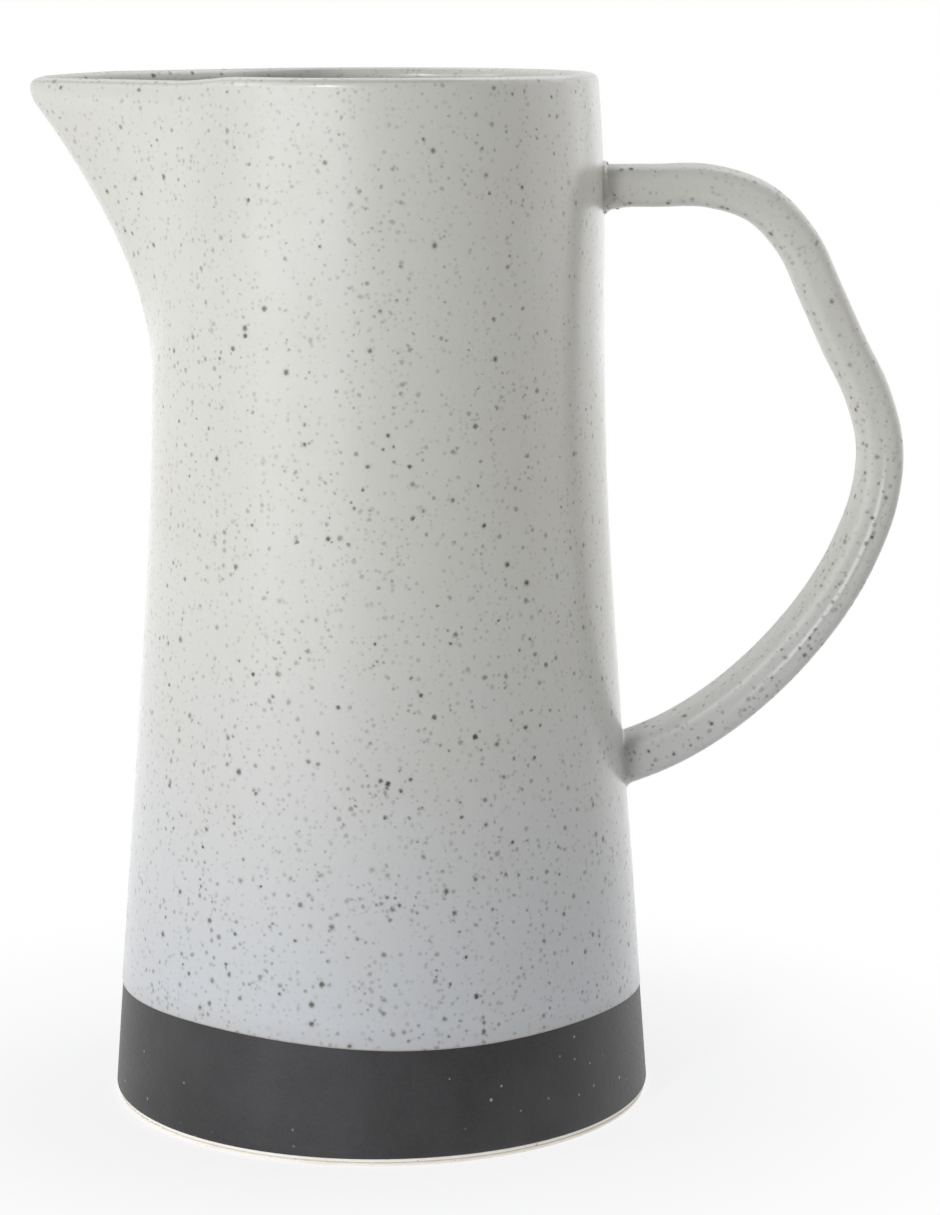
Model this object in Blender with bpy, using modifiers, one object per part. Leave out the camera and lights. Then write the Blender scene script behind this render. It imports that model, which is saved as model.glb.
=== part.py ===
"""Porcelain jug: turned clay body with a pulled spout, strap handle joined on with slip, and fired coats."""

import math

import bmesh
import bpy

# Body, outside of the coats (metres)
HEIGHT = 0.2400
BASE_RADIUS = 0.0638
BASE_LEAN = math.radians(4.25)
BASE_CORNER = 0.0016
CORNER_HEIGHT = 0.0036
CORNER_TURN = math.radians(75)
SHOULDER_RADIUS = 0.0522
SHOULDER_DROP = 0.0400
RIM_RADIUS = 0.0506
WALL = 0.0044

# How much of the wall's height each end of its long curve keeps its own direction
BASE_HOLD = 0.52
SHOULDER_HOLD = 0.345

# Foot and floor
FOOT_CHAMFER = 0.0006
FOOT_WIDTH = 0.0060
RECESS_DEPTH = 0.0016
RECESS_SLOPE = 0.0014
FLOOR_HEIGHT = 0.0070
FLOOR_FILLET = 0.0100

# Spout
SPOUT_REACH = 0.0793
SPOUT_DROP = 0.0695
SPOUT_CURVE = 1.8
SPOUT_ROLL = 0.0040
SPOUT_DIP = 0.0011
FRONT_FADE = (0.75, 1.0)
BACK_FADE = (0.0, 0.5)
NOSE_TIP = 0.0062
NOSE_START = 0.0200

# Handle: strap section, and the two places where it meets the wall
HANDLE_REACH = 0.1222
HANDLE_TOP_DROP = 0.0258
HANDLE_SPAN = 0.1364
STRAP_THICKNESS = 0.0080
STRAP_WIDTH = 0.0136
STRAP_GROWTH = 0.15
STRAP_SQUARENESS = 2.9
JOINT_RISE = 0.0055
JOINT_FLARE = 0.20
JOINT_SAG = 0.0010
SLIP_PAD = 0.0009

# Coats
COAT = 0.0005
BAND_HEIGHT = 0.0269
LIP_SEAM = math.radians(135)

# Clearance between neighbouring pieces
GAP = 0.0003

# Mesh density: steps round the axis, rings up the wall, points on round edges, sides and rings of the strap
TURN_STEPS = 44
NOSE_SHARE = 2.6
WALL_RINGS = 6
SPOUT_RINGS = 9
LIP_POINTS = 6
SEAM_POINTS = 3
CORNER_POINTS = 4
BAND_RINGS = 3
STRAP_SIDES = 16
STRAP_RINGS = 29
ROOT_RINGS = 8
ROOT_SAMPLES = 200
CURVE_HALVINGS = 40
WELD = 0.00001
SHARP_EDGE = math.radians(35)

# Depth of each layer's faces below the outside surface
CLAY_OUTSIDE = COAT + GAP
LIP_RADIUS = WALL / 2
LIP_HEIGHT = HEIGHT - LIP_RADIUS
SHOULDER_HEIGHT = HEIGHT - SHOULDER_DROP
SPOUT_START = HEIGHT - SPOUT_DROP
STRAP_COVER = COAT + GAP
AXIS_X = (SPOUT_REACH - HANDLE_REACH) / 2

# Shape of the strap's centre line from root to root: share of the way from the wall's inside, at the same
# height, out to the strap's reach, and share of the strap's drop
STRAP_LINE = ((0.000, 0.000), (0.220, 0.000), (0.412, 0.001), (0.583, 0.031), (0.708, 0.098), (0.789, 0.183),
              (0.866, 0.268), (0.948, 0.352), (0.995, 0.441), (0.981, 0.533), (0.918, 0.623), (0.827, 0.705),
              (0.710, 0.780), (0.573, 0.848), (0.416, 0.908), (0.242, 0.957), (0.058, 0.991), (-0.096, 1.010))

CLAY = ("clay", (0.72, 0.66, 0.56), 0.85)
SLIP = ("joining_slip", (0.66, 0.63, 0.56), 0.60)
GLAZE = ("speckled_glaze", (0.68, 0.68, 0.65), 0.30)
DARK_COAT = ("dark_matte_coat", (0.065, 0.062, 0.064), 0.70)


def clear_scene():
    for obj in list(bpy.data.objects):
        bpy.data.objects.remove(obj, do_unlink=True)


def make_collection(name):
    collection = bpy.data.collections.new(name)
    bpy.context.scene.collection.children.link(collection)
    return collection


def make_material(name, colour, roughness):
    material = bpy.data.materials.get(name)
    if material is None:
        material = bpy.data.materials.new(name)
        material.use_nodes = True
        shader = material.node_tree.nodes["Principled BSDF"]
        shader.inputs["Base Color"].default_value = (*colour, 1.0)
        shader.inputs["Roughness"].default_value = roughness
        shader.inputs["Metallic"].default_value = 0.0
    return material


def wall_radius(z):
    """Outside radius of the round wall at height z: a long curve, then a slight closing in to the rim."""
    if z >= SHOULDER_HEIGHT:
        rise = (z - SHOULDER_HEIGHT) / (LIP_HEIGHT - SHOULDER_HEIGHT)
        return SHOULDER_RADIUS - (SHOULDER_RADIUS - RIM_RADIUS) * rise * rise
    span = SHOULDER_HEIGHT - CORNER_HEIGHT
    if z <= CORNER_HEIGHT:
        return BASE_RADIUS
    base_rise = BASE_HOLD * span
    heights = (0.0, base_rise, (1 - SHOULDER_HOLD) * span, span)
    radii = (BASE_RADIUS, BASE_RADIUS - base_rise * math.tan(BASE_LEAN), SHOULDER_RADIUS, SHOULDER_RADIUS)
    low, high = 0.0, 1.0
    for _ in range(CURVE_HALVINGS):
        middle = (low + high) / 2
        if cubic(heights, middle) < z - CORNER_HEIGHT:
            low = middle
        else:
            high = middle
    return cubic(radii, low)


def cubic(controls, t):
    """Value of a cubic curve with four control values at t from 0 to 1."""
    a, b, c, d = controls
    return a * (1 - t) ** 3 + 3 * b * t * (1 - t) ** 2 + 3 * c * t * t * (1 - t) + d * t ** 3


def spread(start, end, count):
    return [start + (end - start) * i / (count - 1) for i in range(count)]


def wall_heights(bottom, top):
    """Heights of a wall's rings from bottom to top, closer together where the spout bends the wall."""
    return spread(bottom, SPOUT_START, WALL_RINGS)[:-1] + spread(SPOUT_START, top, SPOUT_RINGS)


def wall_line(depth, bottom):
    """Points of a wall face that lies depth below the outside, from bottom up to the lip."""
    return [(wall_radius(z) - depth, z) for z in wall_heights(bottom, LIP_HEIGHT)]


def lip_arc(radius, start, end, count):
    """Points over the lip's crown; angle 0 faces out and 180 degrees faces in."""
    middle = wall_radius(LIP_HEIGHT) - LIP_RADIUS
    return [(middle + radius * math.cos(a), LIP_HEIGHT + radius * math.sin(a))
            for a in spread(start, end, count)]


def corner_arc(radius):
    """Points round the base's outer corner below the wall's lowest ring, down to the foot."""
    middle = BASE_RADIUS - BASE_CORNER
    return [(middle + radius * math.cos(a), CORNER_HEIGHT + radius * math.sin(a))
            for a in spread(0.0, -CORNER_TURN, CORNER_POINTS)[1:]]


def floor_line(grow):
    """Points of the inside from the axis out to the wall, grown outwards from the glazed inside face."""
    turn_height = FLOOR_HEIGHT + FLOOR_FILLET
    middle = wall_radius(turn_height) - WALL - FLOOR_FILLET
    radius = FLOOR_FILLET + grow
    bend = [(middle + radius * math.sin(a), turn_height - radius * math.cos(a))
            for a in spread(0.0, math.radians(90), CORNER_POINTS)[:-1]]
    return [(0.0, FLOOR_HEIGHT - grow), (middle / 2, FLOOR_HEIGHT - grow)] + bend


def inside_line(grow):
    """Points of the inside from the axis, over the floor and up the wall to the lip."""
    return floor_line(grow) + wall_line(WALL - grow, FLOOR_HEIGHT + FLOOR_FILLET)


def turned(name, profile, closed=False):
    """Turn a profile, given as radius and height, once round the Z axis."""
    mesh = bpy.data.meshes.new(name)
    pairs = [(i, i + 1) for i in range(len(profile) - 1)]
    if closed:
        pairs.append((len(profile) - 1, 0))
    mesh.from_pydata([(r, 0.0, z) for r, z in profile], pairs, [])
    obj = bpy.data.objects.new(name, mesh)
    bpy.context.scene.collection.objects.link(obj)
    screw = obj.modifiers.new("turn", "SCREW")
    screw.steps = TURN_STEPS
    screw.render_steps = TURN_STEPS
    screw.use_merge_vertices = True
    screw.merge_threshold = WELD
    return obj


def to_mesh(obj):
    """Replace an object by a plain mesh of what its modifiers or its curve make, with loose seams welded."""
    graph = bpy.context.evaluated_depsgraph_get()
    mesh = bpy.data.meshes.new_from_object(obj.evaluated_get(graph))
    made = bpy.data.objects.new(obj.name, mesh)
    made.matrix_world = obj.matrix_world
    bpy.context.scene.collection.objects.link(made)
    name = obj.name
    bpy.data.objects.remove(obj, do_unlink=True)
    made.name = name
    work = bmesh.new()
    work.from_mesh(mesh)
    bmesh.ops.remove_doubles(work, verts=work.verts, dist=WELD)
    bmesh.ops.recalc_face_normals(work, faces=work.faces)
    work.to_mesh(mesh)
    work.free()
    return made


def spout_rise(z):
    """How far up the spout a height lies, from 0 at its start to 1 at the lip."""
    return min(1.0, max(0.0, (z - SPOUT_START) / (LIP_HEIGHT - SPOUT_START)))


def spout_lean(rise):
    """Share of its reach that the spout has at a rise: it leans out, then rolls upright at the lip."""
    roll = SPOUT_ROLL / (LIP_HEIGHT - SPOUT_START)
    straight = 1.0 - roll
    slope = SPOUT_CURVE * straight ** (SPOUT_CURVE - 1)
    past = max(0.0, rise - straight)
    lean = min(rise, straight) ** SPOUT_CURVE + slope * (past - past ** 2 / (2 * roll))
    return lean / (straight ** SPOUT_CURVE + slope * roll / 2)


def stretched_point(z, turn):
    """Point and outward direction on the outside at height z, with the wall stretched round the nose.

    The section is the hull of the round wall and of a small circle at the nose. turn runs from 0 at the
    spout to pi at the handle, in even steps along the hull. The third value is the place on the spout's
    side, from 0 at the nose to 1 where the side meets the round wall.
    """
    rise = spout_rise(z)
    wall = wall_radius(z)
    nose = NOSE_START + (NOSE_TIP - NOSE_START) * rise
    offset = wall - nose + (SPOUT_REACH - RIM_RADIUS) * spout_lean(rise)
    lean = math.acos(min(1.0, (wall - nose) / offset))
    flank = math.sqrt(max(0.0, offset ** 2 - (wall - nose) ** 2))
    nose_run = NOSE_SHARE * nose * lean
    along = turn / math.pi * (nose_run + flank + wall * (math.pi - lean))
    if along < nose_run:
        angle, radius, middle, slide = along / (NOSE_SHARE * nose), nose, -offset, 0.0
    elif along < nose_run + flank:
        angle, radius, middle, slide = lean, nose, -offset, along - nose_run
    else:
        angle, radius, middle, slide = lean + (along - nose_run - flank) / wall, wall, 0.0, 0.0
    out = (-math.cos(angle), math.sin(angle))
    point = (middle + radius * out[0] + slide * out[1], radius * out[1] - slide * out[0])
    return point, out, min(1.0, along / (nose_run + flank)) if flank else 1.0


def lip_dip(place, at_front):
    """Share of the lip's dip at a place on the spout's side: most of the front (-Y), the nose at the back."""
    start, end = FRONT_FADE if at_front else BACK_FADE
    fade = min(1.0, max(0.0, (end - place) / (end - start)))
    return fade * fade * (3 - 2 * fade)


def pull_spout(obj):
    """Move the turned points of a wall outwards along the spout, each at its own depth below the outside."""
    for vertex in obj.data.vertices:
        x, y, z = vertex.co
        if z <= SPOUT_START:
            continue
        depth = wall_radius(z) - math.hypot(x, y)
        point, out, place = stretched_point(z, math.atan2(abs(y), -x))
        side = math.copysign(1.0, y)
        dip = SPOUT_DIP * lip_dip(place, y < 0) * spout_rise(z) ** 2
        vertex.co = (point[0] - depth * out[0], side * (point[1] - depth * out[1]), z - dip)
    split_quads(obj.data)


def split_quads(mesh):
    """Split each four-sided face along its shorter diagonal, so that neighbouring layers bend alike."""
    work = bmesh.new()
    work.from_mesh(mesh)
    bmesh.ops.triangulate(work, faces=work.faces, quad_method="SHORT_EDGE")
    work.to_mesh(mesh)
    work.free()


def body_profile():
    """Clay profile from the floor's middle up the inside, over the lip, down the outside and to the axis."""
    lip = lip_arc(LIP_RADIUS - CLAY_OUTSIDE, math.pi, 0.0, LIP_POINTS)[1:-1]
    outside = wall_line(CLAY_OUTSIDE, CORNER_HEIGHT)[::-1]
    corner = corner_arc(BASE_CORNER - CLAY_OUTSIDE)
    foot = BASE_RADIUS - BASE_CORNER
    inner_edge = foot - FOOT_CHAMFER - FOOT_WIDTH
    under = [(foot, CORNER_HEIGHT - BASE_CORNER + CLAY_OUTSIDE), (foot, FOOT_CHAMFER),
             (foot - FOOT_CHAMFER, 0.0), (inner_edge, 0.0), (inner_edge - RECESS_SLOPE, RECESS_DEPTH),
             (0.0, RECESS_DEPTH)]
    return inside_line(CLAY_OUTSIDE) + lip + outside + corner + under


def make_body():
    body = to_mesh(turned("body", body_profile()))
    pull_spout(body)
    return body


def make_outer_glaze():
    bottom = BAND_HEIGHT + GAP / 2
    outside = wall_line(0.0, bottom) + lip_arc(LIP_RADIUS, 0.0, LIP_SEAM, LIP_POINTS)[1:]
    inside = wall_line(COAT, bottom) + lip_arc(LIP_RADIUS - COAT, 0.0, LIP_SEAM, LIP_POINTS)[1:]
    coat = to_mesh(turned("outer_glaze", inside + outside[::-1], closed=True))
    pull_spout(coat)
    return coat


def make_inner_glaze():
    seam = LIP_SEAM + GAP / (LIP_RADIUS - COAT)
    face = inside_line(0.0) + lip_arc(LIP_RADIUS, math.pi, seam, SEAM_POINTS)[1:]
    back = inside_line(COAT) + lip_arc(LIP_RADIUS - COAT, math.pi, seam, SEAM_POINTS)[1:]
    coat = to_mesh(turned("inner_glaze", face + back[::-1]))
    pull_spout(coat)
    return coat


def make_base_band():
    top = BAND_HEIGHT - GAP / 2
    heights = spread(top, CORNER_HEIGHT, BAND_RINGS)
    outside = [(wall_radius(z), z) for z in heights] + corner_arc(BASE_CORNER)
    inside = [(wall_radius(z) - COAT, z) for z in heights] + corner_arc(BASE_CORNER - COAT)
    return to_mesh(turned("base_band", outside + inside[::-1], closed=True))


def wall_cutter(name, grow):
    """Solid of everything inside the round wall, grown outwards from the clay."""
    reach = BASE_RADIUS
    heights = [-reach] + wall_heights(CORNER_HEIGHT, LIP_HEIGHT) + [HEIGHT + reach]
    line = [(wall_radius(z) - CLAY_OUTSIDE + grow, z) for z in heights[::-1]]
    return to_mesh(turned(name, [(0.0, heights[-1])] + line + [(0.0, heights[0])]))


def strap_points(shares):
    """Points of the strap's centre line, as X and Z, at shares of its length from the upper root down."""
    reach = HANDLE_REACH - STRAP_THICKNESS / 2 - STRAP_COVER
    knots = []
    for out, down in STRAP_LINE:
        z = HEIGHT - HANDLE_TOP_DROP - down * HANDLE_SPAN
        inside = wall_radius(z) - WALL
        knots.append((inside + out * (reach - inside), z))
    return [spline_point(knots, share * (len(knots) - 1)) for share in shares]


def spline_point(knots, place):
    """Point of a smooth curve through the knots; place counts knots from the first."""
    last = len(knots) - 1
    i = min(int(place), last - 1)
    t = place - i
    before, start, end, after = (knots[min(max(k, 0), last)] for k in (i - 1, i, i + 1, i + 2))
    controls = (start, [s + (e - b) / 6 for b, s, e in zip(before, start, end)],
                [e - (a - s) / 6 for s, e, a in zip(start, end, after)], end)
    return [cubic([c[k] for c in controls], t) for k in (0, 1)]


def strap_section(name, grow):
    """Rounded flat section of the strap, grown on every side, as a closed outline for a sweep."""
    curve = bpy.data.curves.new(name, "CURVE")
    curve.dimensions = "2D"
    spline = curve.splines.new("POLY")
    spline.points.add(STRAP_SIDES - 1)
    power = 2 / STRAP_SQUARENESS
    for i, point in enumerate(spline.points):
        angle = 2 * math.pi * (i + 0.5) / STRAP_SIDES
        across, along = math.cos(angle), math.sin(angle)
        x = (STRAP_THICKNESS / 2 + grow) * math.copysign(abs(across) ** power, across)
        y = (STRAP_WIDTH / 2 + grow) * math.copysign(abs(along) ** power, along)
        point.co = (x, y, 0.0, 1.0)
    spline.use_cyclic_u = True
    section = bpy.data.objects.new(name, curve)
    bpy.context.scene.collection.objects.link(section)
    return section


def swept(name, points, grow, scales):
    """Sweep the strap's section along points in the XZ plane and give the result as a mesh."""
    section = strap_section(name + "_section", grow)
    curve = bpy.data.curves.new(name, "CURVE")
    curve.dimensions = "2D"
    curve.fill_mode = "NONE"
    curve.bevel_mode = "OBJECT"
    curve.bevel_object = section
    curve.use_fill_caps = True
    spline = curve.splines.new("POLY")
    spline.points.add(len(points) - 1)
    for i, (x, z) in enumerate(points):
        spline.points[i].co = (x, z, 0.0, 1.0)
        spline.points[i].radius = scales[i]
    obj = bpy.data.objects.new(name, curve)
    bpy.context.scene.collection.objects.link(obj)
    obj.rotation_euler = (math.pi / 2, 0.0, 0.0)
    bpy.context.view_layer.update()
    made = to_mesh(obj)
    bpy.data.objects.remove(section, do_unlink=True)
    return made


def carve(obj, cutter, operation="DIFFERENCE"):
    boolean = obj.modifiers.new("cut_by_" + cutter.name, "BOOLEAN")
    boolean.operation = operation
    boolean.solver = "EXACT"
    boolean.object = cutter


def strap_scale(share):
    """The strap grows a little thicker and wider from its upper root to its lower one."""
    return 1.0 + STRAP_GROWTH * share


def full_strap(name, grow):
    shares = spread(0.0, 1.0, STRAP_RINGS)
    return swept(name, strap_points(shares), grow, [strap_scale(share) for share in shares])


def joint_bell(name, at_top, grow):
    """Bell of slip round one end of the strap, widest at the wall, swept well past where the slip ends.

    The slip of the upper end has sagged, so there the bell's fillet is deepest under the strap.
    """
    shares = spread(0.0, 0.5, ROOT_SAMPLES) if at_top else spread(1.0, 0.5, ROOT_SAMPLES)
    points = strap_points(shares)
    distances = [x - wall_radius(z) + CLAY_OUTSIDE for x, z in points]
    start = next(i for i, d in enumerate(distances) if d > 0.0)
    end = next(i for i, d in enumerate(distances) if d > 2 * JOINT_RISE)
    picked = [0] + [round(i) for i in spread(start, end, ROOT_RINGS)]
    flares = [min(1.0, max(0.0, 1 - distances[i] / JOINT_RISE)) ** 2 for i in picked]
    scales = [strap_scale(shares[i]) * (1 + JOINT_FLARE * flare) for i, flare in zip(picked, flares)]
    sag = JOINT_SAG if at_top else 0.0
    line = [(points[i][0], points[i][1] - sag * flare) for i, flare in zip(picked, flares)]
    return swept(name, line, STRAP_COVER + grow, scales)


def make_handle(cutters):
    handle = full_strap("handle", 0.0)
    carve(handle, cutters["strap_end_plane"])
    return handle


def make_handle_glaze(cutters):
    coat = full_strap("handle_glaze", STRAP_COVER)
    carve(coat, cutters["strap_core"])
    carve(coat, cutters["coat_end_plane"])
    return coat


def make_joint(name, at_top, cutters):
    joint = joint_bell(name, at_top, 0.0)
    carve(joint, cutters["joint_end_plane"], "INTERSECT")
    carve(joint, cutters["strap_seat"])
    carve(joint, cutters["clay_face"])
    return joint


def make_cutters():
    """Solids that shape the ends of the strap, its coat and the slip, with the gaps between them."""
    cutters = {
        "clay_face": wall_cutter("clay_face", GAP),
        "strap_end_plane": wall_cutter("strap_end_plane", SLIP_PAD + 2 * GAP),
        "seat_plane": wall_cutter("seat_plane", SLIP_PAD + GAP),
        "joint_end_plane": wall_cutter("joint_end_plane", JOINT_RISE),
        "coat_end_plane": wall_cutter("coat_end_plane", JOINT_RISE + GAP),
        "strap_core": full_strap("strap_core", GAP),
        "strap_seat": full_strap("strap_seat", GAP),
        "upper_opening": joint_bell("upper_opening", True, GAP),
        "lower_opening": joint_bell("lower_opening", False, GAP),
    }
    carve(cutters["strap_seat"], cutters["seat_plane"])
    return cutters


def finish_piece(obj, look, collection, axis):
    obj.data.materials.clear()
    obj.data.materials.append(make_material(*look))
    obj.data.shade_smooth()
    obj.data.set_sharp_from_angle(angle=SHARP_EDGE)
    place(obj, collection, axis)


def place(obj, collection, axis):
    """Move an object into its collection and hang it on the jug's axis."""
    for old in list(obj.users_collection):
        old.objects.unlink(obj)
    collection.objects.link(obj)
    obj.parent = axis


def main():
    clear_scene()
    parts = make_collection("porcelain_jug")
    tools = make_collection("cutters")
    axis = bpy.data.objects.new("jug_axis", None)
    axis.location = (AXIS_X, 0.0, 0.0)
    parts.objects.link(axis)

    cutters = make_cutters()
    outer_glaze = make_outer_glaze()
    carve(outer_glaze, cutters["upper_opening"])
    carve(outer_glaze, cutters["lower_opening"])
    pieces = [(make_body(), CLAY), (make_handle(cutters), CLAY),
              (make_joint("upper_handle_joint", True, cutters), SLIP),
              (make_joint("lower_handle_joint", False, cutters), SLIP),
              (outer_glaze, GLAZE), (make_inner_glaze(), GLAZE), (make_handle_glaze(cutters), GLAZE),
              (make_base_band(), DARK_COAT)]
    for cutter in cutters.values():
        cutter.hide_render = True
        cutter.display_type = "WIRE"
        place(cutter, tools, axis)
    for piece, look in pieces:
        finish_piece(piece, look, parts, axis)


main()
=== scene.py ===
"""Glazed pouring jug: glaze, clay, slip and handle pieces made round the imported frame, and a plain studio."""

import math

import bmesh
import bpy
from bpy.props import FloatProperty, FloatVectorProperty, IntProperty, PointerProperty
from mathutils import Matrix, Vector, noise


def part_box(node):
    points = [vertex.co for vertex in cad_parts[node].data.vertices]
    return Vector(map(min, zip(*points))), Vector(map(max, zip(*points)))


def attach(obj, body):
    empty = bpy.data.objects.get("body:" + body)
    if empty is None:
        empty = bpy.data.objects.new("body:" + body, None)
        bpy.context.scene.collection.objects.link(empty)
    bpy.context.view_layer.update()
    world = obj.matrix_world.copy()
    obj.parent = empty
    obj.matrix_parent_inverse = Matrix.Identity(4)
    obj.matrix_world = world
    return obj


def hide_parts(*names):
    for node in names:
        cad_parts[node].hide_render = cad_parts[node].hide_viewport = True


bl_info = {
    "name": "Glazed Pouring Jug",
    "version": (1, 0, 0),
    "blender": (4, 5, 0),
    "location": "3D View > Sidebar > Jug",
    "description": "Makes a speckled, glazed pouring jug piece by piece round its packed frame",
    "category": "Add Mesh",
}

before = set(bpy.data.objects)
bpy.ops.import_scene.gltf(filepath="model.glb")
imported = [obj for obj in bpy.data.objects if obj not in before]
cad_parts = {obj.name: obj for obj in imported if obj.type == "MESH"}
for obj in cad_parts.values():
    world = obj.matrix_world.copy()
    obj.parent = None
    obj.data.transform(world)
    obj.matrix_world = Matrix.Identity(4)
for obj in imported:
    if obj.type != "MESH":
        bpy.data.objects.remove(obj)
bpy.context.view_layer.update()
BODY = "root"

COAT_LOW, COAT_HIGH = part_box("outer_glaze")
BAND_LOW, BAND_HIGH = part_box("base_band")
STRAP_LOW, STRAP_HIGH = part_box("handle_glaze")
AXIS_X = (BAND_LOW.x + BAND_HIGH.x) / 2

MM = 0.001
HIDDEN = 0.05 * MM
WELD = 0.001 * MM

# Waves of the glaze's lower edge, in millimetres: cosine and sine share of 1 to 4 waves round the jug
EDGE_WAVES = ((0.487, -0.867), (0.175, -0.009), (-0.303, -0.025), (-0.447, -0.297))
EDGE_SETTLE = -0.4

# Unevenness of a hand-made wall: how closely its bumps follow each other, and their share of the whole play
PLAY_WAVES = ((26.0, 1.0), (90.0, 0.25))

# Strap's centre line from root to root: share of the way from the wall's inside out to the strap's reach, and
# share of the drop between the roots
STRAP_LINE = ((0.000, 0.000), (0.220, 0.000), (0.412, 0.001), (0.583, 0.031), (0.708, 0.098), (0.789, 0.183),
              (0.866, 0.268), (0.948, 0.352), (0.995, 0.441), (0.981, 0.533), (0.918, 0.623), (0.827, 0.705),
              (0.710, 0.780), (0.573, 0.848), (0.416, 0.908), (0.242, 0.957), (0.058, 0.991), (-0.096, 1.010))

# Kinds of specks in the glaze: cell and radius in millimetres, share of the cells with one where there is no
# iron, what full iron adds to that share, strength of the faintest, softness of the edge
GLAZE_SPECKS = {
    "faint": (1.42, 0.39, 0.72, 0.00, 0.25, 0.60),
    "middling": (1.80, 0.43, 0.17, 0.31, 0.45, 0.60),
    "dark": (2.30, 0.47, -0.03, 0.48, 0.52, 0.60),
    "halo": (2.30, 0.84, -0.03, 0.48, 0.40, 0.60),
    "large": (4.80, 0.50, -0.03, 0.22, 0.85, 0.50),
}


def length(name, description, default):
    return FloatProperty(name=name, description=description, default=default, unit="LENGTH", precision=5)


def share(name, description, default):
    return FloatProperty(name=name, description=description, default=default, precision=3)


def count(name, description, default):
    return IntProperty(name=name, description=description, default=default, min=3)


def colour(name, description, default):
    return FloatVectorProperty(name=name, description=description, default=default, subtype="COLOR", size=3,
                               min=0.0, max=1.0)


class JugSizes(bpy.types.PropertyGroup):
    """Sizes of the jug, in metres."""

    height: length("Height", "From the table to the lip's crown", COAT_HIGH.z)
    base_radius: length("Base Radius", "Outside radius at the base", (BAND_HIGH.x - BAND_LOW.x) / 2)
    spout_reach: length("Spout Reach", "From the axis to the spout's tip", AXIS_X - COAT_LOW.x)
    handle_reach: length("Handle Reach", "From the axis to the strap's outer side", STRAP_HIGH.x - AXIS_X)
    band_height: length("Band Height", "Mean height of the glaze's lower edge",
                        (BAND_HIGH.z + COAT_LOW.z) / 2)
    base_lean: FloatProperty(name="Base Lean", description="How far the wall leans in above the base",
                             default=math.radians(4.25), unit="ROTATION")
    base_corner: length("Base Corner", "Radius of the base's outer corner", 0.0007)
    corner_height: length("Corner Height", "Height at which the base's corner starts", 0.0022)
    shoulder_radius: length("Shoulder Radius", "Radius where the wall stands upright", 0.0522)
    shoulder_drop: length("Shoulder Drop", "From the lip down to the shoulder", 0.0400)
    rim_radius: length("Rim Radius", "Outside radius of the round rim", 0.0506)
    wall: length("Wall", "Thickness of the wall with its coats", 0.0044)
    coat: length("Coat", "Thickness of the glaze", 0.0005)
    spout_drop: length("Spout Drop", "From the lip down to where the spout starts", 0.0695)
    spout_roll: length("Spout Roll", "Height over which the spout turns upright at its lip", 0.0040)
    spout_dip: length("Spout Dip", "How far the spout's lip sinks", 0.0011)
    nose_tip: length("Nose Tip", "Radius of the spout's nose at the lip", 0.0062)
    nose_start: length("Nose Start", "Radius of the spout's nose where it starts", 0.0200)
    foot_chamfer: length("Foot Chamfer", "Chamfer of the foot ring's outer edge", 0.0004)
    foot_width: length("Foot Width", "Width of the foot ring", 0.0060)
    foot_groove: length("Foot Groove", "Depth of the turned line round the foot", 0.00022)
    recess_depth: length("Recess Depth", "Depth of the hollow under the base", 0.0016)
    recess_slope: length("Recess Slope", "Width of the hollow's sloped edge", 0.0014)
    floor_height: length("Floor Height", "Height of the floor inside", 0.0070)
    floor_fillet: length("Floor Fillet", "Radius between floor and wall inside", 0.0100)
    glaze_proud: length("Glaze Proud", "How far the glaze's edge stands proud of the band", 0.00026)
    hand_play: length("Hand Play", "Unevenness of the hand-made wall", 0.00010)
    columns: count("Columns", "Steps round the jug", 208)


class StrapSizes(bpy.types.PropertyGroup):
    """Sizes of the strap handle and its two joints, in metres."""

    top_drop: length("Top Drop", "From the lip down to the strap's upper root", 0.0258)
    span: length("Span", "Height between the strap's two roots", 0.1364)
    thickness: length("Thickness", "Thickness of the glazed strap", 0.0096)
    width: length("Width", "Width of the glazed strap", 0.0152)
    growth: share("Growth", "How much the strap grows to its lower root", 0.15)
    squareness: share("Squareness", "Power of the section's rounded corners", 3.4)
    ridge: length("Ridge", "Height of the fine ridge along the strap's faces", 0.00034)
    ridge_width: length("Ridge Width", "Distance over which the ridge falls away", 0.00050)
    ridge_place: share("Ridge Place", "Place of the ridge, from 0 in the middle to 1 at the outer edge", 0.06)
    ridge_start: share("Ridge Start", "Share of the length where the ridge begins", 0.47)
    ridge_end: share("Ridge End", "Share of the length where the ridge ends", 0.90)
    cover: length("Cover", "Glaze over the clay of the strap", 0.0008)
    rings: count("Rings", "Rings along the strap", 190)
    sides: count("Sides", "Sides of the strap's section", 144)
    crumb_size: length("Crumb Size", "Largest crumb of slip at the upper joint", 0.00075)
    crumb_density: FloatProperty(name="Crumb Density", description="Crumbs on a square metre of slip",
                                 default=160000.0)


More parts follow.
